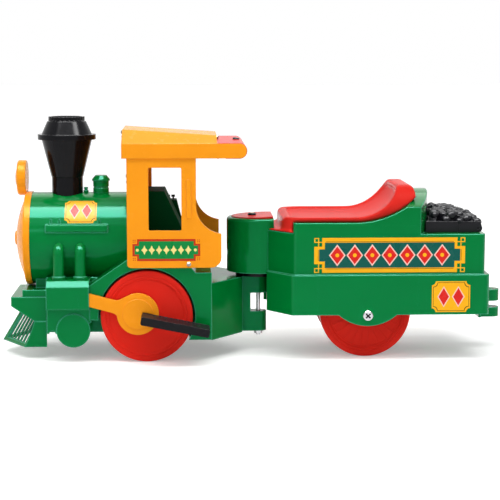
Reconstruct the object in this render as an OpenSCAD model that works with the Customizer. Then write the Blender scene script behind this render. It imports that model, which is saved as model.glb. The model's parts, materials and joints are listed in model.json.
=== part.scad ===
/* [Wheels and axles] */
// Radius of every wheel
wheel_r = 105; // [90:1:110]
// Width of every wheel
wheel_w = 52; // [40:1:56]
// Thickness of a wheel's rim
wheel_rim = 8; // [6:0.5:12]
// Thickness of a wheel's web
wheel_web = 6; // [4:0.5:9]
// Depth of the dish in a wheel's outer face
wheel_dish = 2.5; // [2:0.5:6]
// Radius of a wheel's hub
wheel_hub_r = 18; // [14:1:24]
// Radius of both axles
axle_r = 5; // [4:0.5:7]
// Body's side to the outer face of a front wheel
wheel_inset = 1; // [0:0.5:4]
// Room for a washer between a front wheel and the frame
hub_gap = 2; // [1:0.5:4]
// Half the gap between the rear wheels
rear_wheel_in = 54; // [48:1:58]
// Room between a wheel and its arch or slot
arch_gap = 5; // [4:0.5:10]
// Running clearance of a shaft in its bore
run_gap = 0.05; // [0.02:0.01:0.1]
// Side clearance between parts that move past each other
side_gap = 0.3; // [0.3:0.1:1]

/* [Loco length chain] */
// Nose tip to the front face of the buffer beam
tip_to_beam = 31; // [26:1:40]
// Length of the buffer beam
beam_len = 81; // [75:1:95]
// Half the width of the buffer beam
beam_half = 98; // [90:1:105]
// Height of the buffer beam
beam_top_z = 143; // [136:1:150]
// Height of the buffer beam's lower rear edge
beam_low_z = 86; // [80:1:92]
// Height of the buffer beam's upright front face
beam_nose_h = 21; // [15:1:27]
// How far the buffer beam's underside rakes back
beam_rake_run = 53; // [46:1:60]
// How far back the plough's faces run from the tip
plough_run = 60; // [54:1:66]
// Height of the plough's lower edge
plough_z = 26; // [20:1:32]
// Boiler ahead of the chassis front
boiler_overhang = 43; // [30:1:55]
// Chassis front to the cylinders
cylinder_setback = 5; // [0:1:10]
// Length of a cylinder
cylinder_len = 97; // [80:1:110]
// Chassis front to the front of the cab
cab_setback = 189; // [175:1:205]
// Length of the cab walls
cab_len = 213; // [195:1:225]
// Cylinders' rear to the front axle
axle_reach = 130; // [116:1:145]
// Front axle to the rear of the loco body
body_tail = 148; // [135:1:160]
// Length of the tapered tail
tail_len = 73; // [60:1:85]
// End of the tail to the steering pin
pin_reach = 39.5; // [35:0.5:50]

/* [Chassis] */
// Half the width of the body over the wheel arches
body_half = 150; // [130:1:170]
// Height of the body's sill behind the wheel
sill_z = 50; // [40:1:60]
// Height of the skirt ahead of the wheel
skirt_z = 97; // [85:1:105]
// Running board at the cylinders below the cab floor
run_drop = 60; // [50:1:70]
// Height of the cab floor
floor_z = 236; // [228:1:245]
// Body behind the cab below the cab floor
rear_drop = 31; // [24:1:40]
// Tail below the body behind the cab
tail_drop = 25; // [18:1:34]
// Half the width of the tail's end
tail_end_half = 45; // [35:1:55]
// Wall of the moulded shells
shell = 3; // [2.5:0.5:5]
// Radius of the steering pin
pin_r = 5; // [4:0.5:7]
// Radius of the steering lugs
lug_r = 19; // [15:1:22]
// Height of the lower steering lug
low_lug_h = 47; // [30:1:50]
// Height of the upper steering lug
top_lug_h = 43; // [30:1:50]
// Thickness of the turntable washer
washer_h = 10; // [6:1:12]
// Radius of the turntable washer
washer_r = 54; // [40:1:60]

/* [Boiler] */
// Boiler's axis above the cab floor
boiler_rise = 33; // [26:1:42]
// Radius of the boiler
boiler_r = 107; // [98:1:112]
// Depth of the domed boiler front
front_dome = 23; // [16:1:30]
// Thickness of the boiler front's rim
front_rim = 9; // [6:1:14]
// Lap of the boiler front over the boiler
front_lap = 7; // [4:1:10]
// Length of the ledge along the boiler
ledge_len = 142; // [110:1:160]
// Height of the ledge
ledge_h = 18; // [12:1:24]
// Ledge's reach beyond the boiler
ledge_out = 5; // [3:0.5:8]
// Radius of the headlamp drum
lamp_r = 41; // [34:1:46]
// Boiler's end to the rear of the headlamp drum
lamp_ahead = 6; // [4:0.5:7]
// Depth of the headlamp drum
lamp_len = 21; // [16:0.5:26]
// Height of the smoke stack above the boiler
stack_h = 177; // [150:1:200]
// Boiler front to the smoke stack
stack_setback = 88; // [75:1:100]
// Radius of the stack's base
stack_base_r = 36; // [30:1:40]
// Radius of the stack's ring
stack_ring_r = 67.5; // [60:0.5:75]
// Boiler front to the safety valve
valve_setback = 131; // [122:1:138]
// Boiler front to the steam dome
dome_setback = 166; // [158:1:175]
// Radius of the steam dome
dome_r = 18.5; // [15:0.5:22]
// Height of the steam dome above the boiler
dome_h = 40; // [30:1:50]

/* [Cylinders, rods and footrests] */
// Reach of a cylinder beyond the body's side
cylinder_out = 13; // [11:1:20]
// Top of a cylinder below the boiler's axis
cylinder_drop = 81; // [74:1:90]
// Height of a cylinder
cylinder_h = 65.5; // [55:0.5:75]
// Radius of a dummy pilot wheel
pilot_r = 38.5; // [30:0.5:42]
// Radius of a steam pipe
pipe_r = 12.5; // [9:0.5:14]
// Thickness of a connecting rod
rod_t = 8; // [6:0.5:9]
// Depth of a connecting rod's arm
rod_arm_h = 30; // [22:1:34]
// Radius of a connecting rod's big end
big_end_r = 47.5; // [40:0.5:52]
// Length of a footrest
footrest_len = 157; // [140:1:165]
// Width of a footrest
footrest_w = 62; // [50:1:75]
// Thickness of a footrest
footrest_t = 18.5; // [16:0.5:24]
// Slope of a footrest, in degrees
footrest_slope = 11.4; // [5:0.2:14]

/* [Cab and roof] */
// Thickness of a cab wall
cab_wall = 6; // [4:0.5:9]
// Cab walls' lower edge below the cab floor
cab_drop = 19; // [12:1:26]
// Width of the post behind the window
post_w = 33; // [26:1:40]
// Height of the window
window_h = 142; // [110:1:150]
// Cab front to the window
window_setback = 49; // [40:1:56]
// Window's sill above the cab floor
window_rise = 66; // [58:1:74]
// Radius of the sweep behind the cab post
sweep_r = 65; // [50:1:70]
// Sweep's upper end above the cab floor
sweep_rise = 123; // [110:1:136]
// Length of the lower wall behind the post
sweep_len = 57; // [48:1:62]
// Roof's lower edge above the cab floor
roof_rise = 229; // [215:1:245]
// Height of the roof's side rails
rail_h = 33; // [26:1:36]
// Rise of the roof's hood at its front
hood_rise = 29; // [24:1:36]
// Half the width of the hood's flat top
hood_flat = 92; // [70:1:110]
// Fall of the hood to the rear, in degrees
hood_fall = 3.7; // [0:0.1:5]
// Roof ahead of the cab
roof_overhang = 11; // [6:1:16]
// Length of the roof's hood
hood_len = 215; // [205:1:225]
// Hood's rear to the handlebar's axis
bar_reach = 50; // [44:1:60]
// Clear of the handlebar's round end beyond the side rails
bar_lip = 1; // [0.5:0.5:4]
// Radius of the column's push button
button_r = 10; // [8:0.5:12]
// Radius of the handlebar's push button
bar_button_r = 8; // [6:0.5:9]
// Travel of a push button
button_travel = 3; // [2:0.5:4]

/* [Tender] */
// Steering pin to the front of the tender
tender_setback = 16; // [13:0.5:20]
// Length of the tender's tapered front
taper_len = 54.5; // [45:0.5:64]
// Half the width of the tapered front's nose
taper_half = 80; // [70:1:90]
// Steering pin to the rear axle
rear_axle_setback = 243.5; // [235:0.5:255]
// Upper box's rear to the lower box's rear
rear_step = 10; // [6:1:14]
// Length of a rear axle bush
bush_len = 20; // [14:1:24]
// Half the width of the lower box
low_half = 158; // [152:1:165]
// Step from the lower box in to the upper box
box_step = 8; // [5:1:10]
// Height of the lower box's underside
low_z = 106; // [100:1:112]
// Height of the lower box
low_h = 92; // [80:1:104]
// Height of the upper box up to the seat deck
top_h = 118.5; // [108:0.5:132]
// Tapered front below the seat deck
taper_drop = 23.5; // [18:0.5:30]
// Rear shelf below the seat deck
shelf_drop = 26; // [21:0.5:31]
// Sides of the hump above the seat deck
hump_rise = 35.5; // [29:0.5:42]
// Crown of the hump
hump_crown = 30; // [20:1:36]
// Radius of the rise from the deck to the hump
rise_r = 203; // [190:1:215]
// Rear axle to the start of the rise
rise_ahead = 28; // [20:1:36]
// Rear axle to the hump's rear corners
hump_tail = 120; // [116:1:126]
// Bow of the hump's rear face
hump_bow = 32; // [24:1:34]
// Radius of the lobe under the axle
lobe_r = 100; // [90:1:115]
// Lobe below the lower box
lobe_drop = 25.5; // [23:0.5:30]
// Radius of the steering column
column_r = 75; // [68:1:80]
// Clear of the column's top above the deck
column_rise = 1; // [0:0.5:6]
// Steering pin to the flat behind the column's top
column_flat = 33; // [28:1:38]

/* [Seat and coal lid] */
// Height of the seat's rim above the deck
seat_rise = 11; // [9:0.5:13]
// Half the width of the seat
seat_half = 136; // [128:1:144]
// Height of the seat's back above the rim
back_rise = 70.5; // [60:0.5:80]
// Radius of the bend from pan to back
seat_bend_r = 104; // [90:1:118]
// Rear axle to the start of the bend
bend_ahead = 26; // [20:1:32]
// Seat ahead of the tapered front's end
seat_ahead = 21; // [18:1:24]
// Radius of the seat's front corners
seat_corner_r = 45; // [38:1:52]
// Radius of the corners of the seat's back
back_corner_r = 60; // [50:1:68]
// Depth of the dish along the seat
seat_dish = 8; // [6:0.5:9]
// Half the width of the dish
dish_half = 118; // [104:1:122]
// Width of the rim at the dish's ends
seat_rim = 10.5; // [9:0.5:13]
// Thickness of the seat's apron on the tapered front
apron_t = 4; // [3:0.5:5]
// Hump to the coal lid
lid_gap = 4; // [2:0.5:6]
// Length of the coal lid
lid_len = 110; // [98:1:125]
// Coal lid to the upper box's rear
lid_setin = 3; // [2:0.5:5]
// Half the width of the coal lid
lid_half = 122; // [112:1:130]
// Height of the coal lid's rim
lid_h = 26; // [22:1:30]
// Height of the coal heap above the rim
heap_h = 22; // [14:1:28]
// Radius of the lid's hinge pin
hinge_r = 2.5; // [2:0.25:3]

/* [Drive] */
// Teeth of the axle gear and of the intermediate gear
big_teeth = 48; // [40:2:54]
// Teeth of both pinions
small_teeth = 12; // [12:1:14]
// Module of the axle gear pair
slow_module = 1.75; // [1.5:0.05:1.8]
// Module of the motor gear pair
fast_module = 1.25; // [1:0.05:1.3]
// Radius of the motor
motor_r = 14; // [12:0.5:16]
// Length of the motor
motor_len = 40; // [32:1:42]

/* [Rear coupling] */
// Reach of the coupling behind the tender
coupling_reach = 53; // [46:1:62]
// Radius of the coupling's bore
coupling_bore_r = 5; // [4:0.5:6]
// Radius of the coupling's round ends
coupling_r = 20; // [16:1:24]
// Height of the coupling's underside
coupling_z = 76; // [72:1:82]
// Thickness of the lower coupling lug
low_ear_h = 22.5; // [16:0.5:24]
// Gap between the coupling lugs
ear_gap = 15.5; // [12:0.5:20]
// Thickness of the upper coupling lug
top_ear_h = 27.5; // [20:0.5:30]

/* [Hidden] */
$fn = 64;
eps = 1;
far = 400;

// Places along the train, from the nose tip at the front, with the origin at mid length
chassis_s = tip_to_beam + beam_len;
front_axle_s = chassis_s + cylinder_setback + cylinder_len + axle_reach;
pin_s = front_axle_s + body_tail + tail_len + pin_reach;
tender_tail = hump_tail + hump_bow + lid_gap + lid_len + lid_setin + rear_step;
total_len = pin_s + rear_axle_setback + tender_tail + coupling_reach;
tip_x = -total_len / 2;
beam_x = tip_x + tip_to_beam;
chassis_x = tip_x + chassis_s;
boiler_x = chassis_x - boiler_overhang;
cylinder_x = chassis_x + cylinder_setback;
cylinder_rear_x = cylinder_x + cylinder_len;
cab_x = chassis_x + cab_setback;
cab_rear_x = cab_x + cab_len;
post_x = cab_rear_x - sweep_len;
front_axle_x = tip_x + front_axle_s;
body_rear_x = front_axle_x + body_tail;
tail_x = body_rear_x + tail_len;
pin_x = tip_x + pin_s;
tender_x = pin_x + tender_setback;
taper_x = tender_x + taper_len;
rear_axle_x = pin_x + rear_axle_setback;
tender_rear_x = rear_axle_x + tender_tail;
tail_root_half = body_half - 3;
stack_x = boiler_x + stack_setback;

// Heights of the loco
run_z = floor_z - run_drop;
rear_top_z = floor_z - rear_drop;
tail_top_z = rear_top_z - tail_drop;
boiler_z = floor_z + boiler_rise;
cylinder_top_z = boiler_z - cylinder_drop;
cylinder_z = cylinder_top_z - cylinder_h;
stack_foot_z = boiler_z + boiler_r;
cab_low_z = floor_z - cab_drop;
window_z = floor_z + window_rise;
sweep_z = floor_z + sweep_rise;
roof_z = floor_z + roof_rise;

// Heights of the tender
step_z = low_z + low_h;
deck_z = step_z + top_h;
taper_top_z = deck_z - taper_drop;
shelf_z = deck_z - shelf_drop;
hump_z = deck_z + hump_rise;

// Front wheel, rod and footrest planes
arch_r = wheel_r + arch_gap;
front_wheel_out = body_half - wheel_inset;
front_wheel_in = front_wheel_out - wheel_w;
core_half = front_wheel_in - hub_gap;
cylinder_half = body_half + cylinder_out;
rod_in = front_wheel_out + 3;
rod_out = rod_in + rod_t;
footrest_out = rod_out + footrest_w;
axle_in_footrest = footrest_w / 2;
footrest_front = 12;
footrest_peg_r = 6;
footrest_peg_in = 14;
footrest_peg_reach = footrest_len - 2 * footrest_front;
footrest_peg_x = front_axle_x + footrest_peg_reach * cos(footrest_slope);
footrest_peg_z = wheel_r - footrest_peg_reach * sin(footrest_slope);
rod_low_z = cylinder_z + 7;
front_lap_t = 2;
lamp_sink = 6.5;
lamp_z = boiler_z + boiler_r + lamp_r - lamp_sink;
lamp_x = boiler_x - lamp_ahead;
lens_r = lamp_r - 14;
lens_seat = 3;
lens_x = lamp_x - lamp_len + lens_seat;
saddle_setback = 26;
saddle_h = 16;
saddle_half = beam_half - 3;
stack_base_h = 37;
lug_bottom_z = sill_z - 4;
low_lug_top_z = lug_bottom_z + low_lug_h;
top_lug_bottom_z = tail_top_z - top_lug_h;
column_z = tail_top_z + washer_h + side_gap;
column_top_z = deck_z + column_rise;
pin_in_column = 60;

// Cab and roof planes
cab_half = body_half + cab_wall;
roof_in_half = cab_half + side_gap;
roof_half = roof_in_half + shell;
rail_top_z = roof_z + rail_h;
rail_end_r = rail_h / 2;
roof_x = cab_x - roof_overhang;
hood_rear_x = roof_x + hood_len;
bar_x = hood_rear_x + bar_reach;
bar_z = roof_z + rail_end_r;
bar_r = rail_end_r + bar_lip;
button_tilt = 8;
button_ahead = 15;
button_seat = 4;
button_flange = 2;
button_flange_out = 3;
button_pocket = button_seat + button_flange + button_travel + 5;
wall_top_z = rail_top_z - shell;
window_len = cab_len - sweep_len - window_setback - post_w;
console_z = floor_z + 147;
console_len = 77;
console_half = 64;
gauge_z = floor_z + 114;
gauge_len = 104;
gauge_half = 112;

// Rear wheels and the tender's cells
rear_wheel_out = rear_wheel_in + wheel_w;
cell_rib = 3;
gear_cell_half = rear_wheel_in - 2 - cell_rib;
slot_in = rear_wheel_in - 2;
slot_out = rear_wheel_out + 2;
wheel_cell_half = wheel_r + arch_gap + 3;
wheel_cell_x = rear_axle_x - wheel_cell_half;
wheel_cell_rear_x = rear_axle_x + wheel_cell_half;
top_half = low_half - box_step;
top_tender_x = tender_x + 2;
top_taper_x = taper_x + 6;
top_rear_x = tender_rear_x - rear_step;
lid_rear_x = top_rear_x - lid_setin;
lid_x = lid_rear_x - lid_len;
hinge_knuckle_r = 9.5;
hinge_x = lid_rear_x - hinge_knuckle_r;
hinge_z = shelf_z + hinge_knuckle_r + 2 * side_gap;
knuckle_out = lid_half - 12;
knuckle_w = 16;
bay_x = lid_x + 4;
bay_rear_x = hinge_x - hinge_knuckle_r - 4;
bay_half = 95;
bay_floor_z = step_z - 48;
hump_corner_x = rear_axle_x + hump_tail;
bow_r = dome_sphere(top_half, hump_bow);
bow_x = hump_corner_x + hump_bow - bow_r;
crown_r = dome_sphere(top_half, hump_crown);
bush_r = axle_r + 4;

// Seat: rim, bend and lean of the back
seat_z = deck_z + seat_rise;
seat_x = taper_x - seat_ahead;
bend_x = rear_axle_x - bend_ahead;
back_lean = 58;

// Gear places: slow pair on the axle, fast pair on the motor
slow_dist = slow_module * (big_teeth + small_teeth) / 2;
fast_dist = fast_module * (big_teeth + small_teeth) / 2;
slow_dir = 160;
fast_dir = 100;
mid_x = rear_axle_x + slow_dist * cos(slow_dir);
mid_z = wheel_r + slow_dist * sin(slow_dir);
motor_x = mid_x + fast_dist * cos(fast_dir);
motor_z = mid_z + fast_dist * sin(fast_dir);
gear_addendum = 0.75;
case_y = -29;
case_wall = 3;
cover_y = 1;
cover_t = 3;
slow_gear_y = -24;
slow_gear_w = 12;
fast_gear_y = -9;
fast_gear_w = 8;
mid_shaft_r = 3;
motor_shaft_r = 1.6;

green = "#00803e";
yellow = "#fbaa28";
red = "#d42018";
black = "#1c1c22";
steel = "#b8bcc0";
cream = "#d8d2b0";

// Extrude a side view from y0 to y1
module side_plate(y0, y1) {
  translate([0, y1, 0]) rotate([90, 0, 0]) linear_extrude(y1 - y0) children();
}

// Extrude a side view across the whole width
module across(half) {
  side_plate(-half, half) children();
}

// Extrude a front view from x0 to x1
module along(x0, x1) {
  translate([x0, 0, 0]) rotate([90, 0, 90]) linear_extrude(x1 - x0) children();
}

// Extrude a plan from z0 to z1
module upright(z0, z1) {
  translate([0, 0, z0]) linear_extrude(z1 - z0) children();
}

// Rod along Y
module cross_rod(x, z, y0, y1, r) {
  translate([x, y1, z]) rotate([90, 0, 0]) cylinder(r = r, h = y1 - y0);
}

// Rod along X on the middle plane
module long_rod(x0, x1, z, r) {
  translate([x0, 0, z]) rotate([0, 90, 0]) cylinder(r = r, h = x1 - x0);
}

// Box between two corners
module box(a, b) {
  translate(a) cube(b - a);
}

module both_sides() {
  children();
  mirror([0, 1, 0]) children();
}

// Round one corner of an outline
function unit(v) = v / norm(v);
function corner(a, b, c, r, n) =
  let (
    u = unit(a - b),
    w = unit(c - b),
    h = acos(u * w) / 2,
    m = b + unit(u + w) * r / sin(h),
    s = b + u * r / tan(h) - m,
    e = b + w * r / tan(h) - m,
    a0 = atan2(s.y, s.x),
    turn = (atan2(e.y, e.x) - a0 + 540) % 360 - 180
  )
  [for (i = [0 : n]) m + r * [cos(a0 + turn * i / n), sin(a0 + turn * i / n)]];
function rounded(points, radii, n = 6) =
  let (k = len(points))
  [
    for (i = [0 : k - 1])
      each radii[i] == 0
        ? [points[i]]
        : corner(points[(i + k - 1) % k], points[i], points[(i + 1) % k], radii[i], n)
  ];

// Involute gear in plan, with one tooth on the X axis
function roll(r, base) = r <= base ? 0 : sqrt(pow(r / base, 2) - 1);
function involute(r, base) = roll(r, base) * 180 / PI - atan(roll(r, base));
module gear_plan(teeth, m, play = 0.2, steps = 4) {
  pitch_r = m * teeth / 2;
  base = pitch_r * cos(20);
  root_r = pitch_r - 1.15 * m;
  tip_r = pitch_r + gear_addendum * m;
  start_r = max(base, root_r);
  half = 90 / teeth - play / pitch_r * 90 / PI + involute(pitch_r, base);
  flank = [
    for (i = [0 : steps])
      let (r = start_r + (tip_r - start_r) * i / steps)
        [r, half - involute(r, base)]
  ];
  side = concat([[root_r, flank[0][1]]], flank);
  last = len(side) - 1;
  polygon([
    for (t = [0 : teeth - 1], i = [0 : 2 * last + 1])
      let (
        p = i <= last ? side[i] : side[2 * last + 1 - i],
        a = 360 * t / teeth + (i <= last ? -p[1] : p[1])
      )
        p[0] * [cos(a), sin(a)]
  ]);
}

// Solid cylinder of the boiler's outside
module boiler_envelope(r) {
  long_rod(boiler_x - far, cab_x, boiler_z, r);
}

// Side view of the loco body over the wheels
module body_side() {
  slope_end = front_axle_x + arch_r - 24;
  polygon([
    [cylinder_rear_x, skirt_z], [cylinder_rear_x, run_z], [cab_x, floor_z],
    [slope_end, floor_z], [slope_end + 25, rear_top_z], [body_rear_x, rear_top_z],
    [body_rear_x, sill_z], [front_axle_x, sill_z], [front_axle_x, skirt_z]
  ]);
}

module tail_plan(inset) {
  polygon([
    [body_rear_x - eps, -tail_root_half + inset], [tail_x - inset, -tail_end_half + inset],
    [tail_x - inset, tail_end_half - inset], [body_rear_x - eps, tail_root_half - inset]
  ]);
}

// Pockets under the tail, with ribs between them
module tail_pockets() {
  rib_pitch = tail_root_half / 2;
  difference() {
    upright(0, tail_top_z - 2 * shell) tail_plan(2 * shell);
    for (i = [-1 : 1])
      box([body_rear_x - far, i * rib_pitch - shell, 0], [tail_x, i * rib_pitch + shell, far]);
  }
}

// Round-ended lug about the steering pin
module steering_lug(z0, z1) {
  upright(z0, z1) {
    translate([tail_x - shell, -lug_r]) square([pin_x - tail_x + shell, 2 * lug_r]);
    translate([pin_x, 0]) circle(lug_r);
  }
}

// Pockets that lighten the underside, with ribs between them
module belly_pockets() {
  pitch = (body_rear_x - chassis_x - shell) / 4;
  for (i = [0 : 3], y = [-1, 1])
    let (
      x0 = chassis_x + shell + i * pitch,
      roof = x0 < cab_x ? boiler_z - boiler_r : i == 3 ? rear_top_z : floor_z,
      top = roof - 2 * shell
    )
      box(
        [x0, y < 0 ? -core_half + 2 * shell : shell / 2, 0],
        [x0 + pitch - shell, y < 0 ? -shell / 2 : core_half - 2 * shell, top]
      );
}

module loco_chassis() {
  color(green) difference() {
    union() {
      across(body_half) body_side();
      box([chassis_x, -core_half, sill_z + 10], [body_rear_x, core_half, cylinder_top_z]);
      box([boiler_x + 16, -60, beam_top_z], [chassis_x, 60, cylinder_top_z]);
      box(
        [beam_x + saddle_setback, -saddle_half, beam_top_z],
        [chassis_x + eps, saddle_half, beam_top_z + saddle_h]
      );
      upright(sill_z - 2, tail_top_z) tail_plan(0);
      steering_lug(lug_bottom_z, low_lug_top_z);
      steering_lug(top_lug_bottom_z, tail_top_z);
      box([tail_x - shell, -lug_r, lug_bottom_z], [pin_x - lug_r, lug_r, tail_top_z]);
      both_sides() footrest_lug();
    }
    both_sides() cross_rod(front_axle_x, wheel_r, core_half, body_half + eps, arch_r);
    boiler_envelope(boiler_r);
    long_rod(beam_x, boiler_x + front_lap, boiler_z, boiler_r + front_lap_t);
    belly_pockets();
    tail_pockets();
    cross_rod(front_axle_x, wheel_r, -far, far, axle_r);
    translate([pin_x, 0, 0]) cylinder(r = pin_r + run_gap, h = far);
  }
}

// Peg on the body side that carries the rear of a footrest
module footrest_lug() {
  cross_rod(footrest_peg_x, footrest_peg_z, body_half - eps, rod_out + footrest_peg_in, footrest_peg_r);
}

module boiler_shell() {
  color(green) difference() {
    union() {
      long_rod(boiler_x, cab_x, boiler_z, boiler_r);
      both_sides() boiler_ledge();
    }
    long_rod(boiler_x - eps, cab_x + eps, boiler_z, boiler_r - shell);
  }
}

// Moulded ledge along the boiler, with stub stanchions
module boiler_ledge() {
  x0 = boiler_x + 44;
  z0 = boiler_z + 24;
  root = boiler_r - 18;
  out = boiler_r + ledge_out;
  stub_r = 2;
  stub_h = 14;
  along(x0, x0 + ledge_len)
    polygon(rounded(
      [[root, z0], [out - 2, z0], [out - 6, z0 + ledge_h], [root, z0 + ledge_h]],
      [0, 4, 4, 0]
    ));
  for (x = [x0 + 12, x0 + 32, x0 + ledge_len - 20])
    translate([x, root + 9, z0 + ledge_h - eps]) cylinder(r = stub_r, h = stub_h);
}

// Boiler front with the headlamp drum on its rim
module boiler_front() {
  color(yellow) difference() {
    union() {
      translate([boiler_x, 0, boiler_z]) rotate([0, -90, 0]) rotate_extrude() front_profile();
      translate([lamp_x, 0, lamp_z]) rotate([0, -90, 0]) rotate_extrude()
        polygon(rounded([[0, 0], [lamp_r, 0], [lamp_r, lamp_len], [0, lamp_len]], [0, 3, 5, 0]));
    }
    long_rod(boiler_x - far, lens_x, lamp_z, lens_r);
  }
}

// Radius of the sphere whose cap has base radius r and height h
function dome_sphere(r, h) = (r * r + h * h) / (2 * h);

// Half section of the boiler front: lap, rim, dome and hub
module front_profile() {
  dome_base = boiler_r - 10;
  ball = dome_sphere(dome_base, front_dome);
  rim_r = boiler_r + front_lap_t;
  hub_r = 17;
  hub_top = front_rim + front_dome + 4;
  polygon(rounded([[0, 0], [rim_r, 0], [rim_r, front_rim], [0, front_rim]], [0, 0, 4, 0]));
  translate([boiler_r, -front_lap]) square([front_lap_t, front_lap + eps]);
  intersection() {
    translate([0, front_rim + front_dome - ball]) circle(ball, $fn = 96);
    translate([0, front_rim - eps]) square([boiler_r, front_dome + 2 * eps]);
  }
  polygon(rounded([[0, front_rim], [hub_r, front_rim], [hub_r, hub_top], [0, hub_top]], [0, 0, 4, 0]));
}

module headlamp_lens() {
  bulge = 6;
  ball = dome_sphere(lens_r, bulge);
  color(yellow) translate([lens_x, 0, lamp_z]) rotate([0, -90, 0]) intersection() {
    translate([0, 0, lens_seat + bulge - ball]) sphere(ball);
    cylinder(r = lens_r, h = lens_seat + 2 * bulge);
  }
}

// Side view of the beam: a block that rakes back under its front edge
module beam_side() {
  polygon([
    [beam_x, beam_top_z], [beam_x, beam_top_z - beam_nose_h], [beam_x + beam_rake_run, beam_low_z],
    [chassis_x, beam_low_z], [chassis_x, beam_top_z]
  ]);
}

module buffer_beam() {
  color(green) across(beam_half) beam_side();
}

// Outline up the plough's face between two points of its foot, each side with its own lean
function up_face(u0, u1, lean0, lean1, z0, z1) = [
  [u0 + lean0 * z0, z0], [u1 + lean1 * z0, z0], [u1 + lean1 * z1, z1], [u0 + lean0 * z1, z1]
];

// One raked face of the plough: a frame around a thin web, whose slots fan out from the tip's edge
module plough_face() {
  face_len = norm([plough_run, beam_half]);
  face_t = 6;
  web_t = 3;
  face_h = 160;
  rake = 27;
  slots = 6;
  slot_w = 9;
  foot_h = 12;
  frame_w = 11;
  rear_w = 4;
  web_edge = 3;
  tip_lean = plough_run / beam_half * sin(rake);
  rear_lean = tip_lean / 2;
  first = frame_w + web_edge;
  pitch = (face_len - rear_w - 3 * web_edge - slot_w - first) / (slots - 1);
  intersection() {
    translate([tip_x, 0, plough_z])
      rotate([0, 0, -atan2(beam_half, plough_run)])
        rotate([-rake, 0, 0])
          difference() {
            translate([-face_len / 4, 0, -20]) cube([face_len * 1.5, face_t, face_h]);
            side_plate(-eps, face_t - web_t)
              polygon(up_face(frame_w, face_len - rear_w, tip_lean, rear_lean, foot_h - web_edge, face_h));
            for (i = [0 : slots - 1]) {
              foot = first + i * pitch;
              lean = tip_lean + (rear_lean - tip_lean) * i / (slots - 1);
              side_plate(-eps, face_t + eps) polygon(up_face(foot, foot + slot_w, lean, lean, foot_h, face_h));
            }
          }
    box([tip_x - eps, -beam_half, plough_z], [chassis_x, eps, beam_top_z - 20]);
  }
}

module cowcatcher() {
  color(green) difference() {
    both_sides() {
      plough_face();
      side_plate(-beam_half, -beam_half + 2 * shell) polygon([
        [tip_x + plough_run + 2, plough_z], [chassis_x, plough_z],
        [chassis_x, beam_low_z], [beam_x + beam_rake_run, beam_low_z]
      ]);
    }
    across(beam_half + eps) beam_side();
    across(beam_half + eps) translate([0, 2]) beam_side();
  }
}

// Left cylinder casting with skirt and dummy pilot wheel
module cylinder_casting() {
  bevel = 14;
  pilot_x = cylinder_x + 60;
  pilot_z = 73;
  top_z = cylinder_top_z;
  difference() {
    union() {
      along(cylinder_x, cylinder_rear_x) polygon(rounded(
        [[-core_half, cylinder_z], [-cylinder_half, cylinder_z], [-cylinder_half, top_z - bevel],
         [-cylinder_half + bevel, top_z], [-core_half, top_z]],
        [0, 3, 3, 3, 0]
      ));
      side_plate(-body_half + 2, -body_half + 12) {
        polygon([
          [cylinder_x, cylinder_z + eps], [cylinder_x, 66], [pilot_x, 66],
          [pilot_x + 42, skirt_z - 4], [cylinder_rear_x, skirt_z], [cylinder_rear_x, cylinder_z + eps]
        ]);
      }
      side_plate(-body_half - 1, -body_half + 12) translate([pilot_x, pilot_z]) circle(pilot_r);
    }
    cross_rod(front_axle_x, wheel_r, -far, -core_half + eps, arch_r);
    side_plate(-rod_out - side_gap, -rod_in + side_gap)
      translate([cylinder_rear_x - 25, rod_low_z - side_gap]) square([30, rod_arm_h + 2 * side_gap]);
    side_plate(-far, -core_half - shell) translate([cylinder_x + 12, 66]) circle(7);
    boiler_envelope(boiler_r);
  }
}

module cylinder_left() {
  color(green) cylinder_casting();
}

module cylinder_right() {
  color(green) mirror([0, 1, 0]) cylinder_casting();
}

// One pipe: a collar on the cylinder, a riser and an elbow into the boiler
module steam_pipe(x) {
  bend = 14;
  axis_y = -boiler_r - bend;
  base_z = cylinder_top_z;
  elbow_z = boiler_z - pipe_r + 1 - bend;
  difference() {
    union() {
      translate([x, axis_y, base_z]) cylinder(r = pipe_r + 3.5, h = 6);
      translate([x, axis_y, base_z]) cylinder(r = pipe_r, h = elbow_z - base_z);
      translate([x, axis_y + bend, elbow_z]) rotate([90, 0, 90]) rotate([0, 0, 90]) rotate_extrude(angle = 90)
        translate([bend, 0]) circle(pipe_r);
      translate([x, axis_y + bend, elbow_z + bend]) rotate([-90, 0, 0]) cylinder(r = pipe_r, h = 10);
    }
    boiler_envelope(boiler_r);
  }
}

module steam_pipes() {
  first = cylinder_x + 26;
  color(green) both_sides() for (x = [first, first + 49]) steam_pipe(x);
}

module stack_base() {
  sink = 20;
  color(black) difference() {
    translate([stack_x, 0, stack_foot_z - sink]) cylinder(r = stack_base_r, h = sink + stack_base_h);
    boiler_envelope(boiler_r);
  }
}

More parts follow.
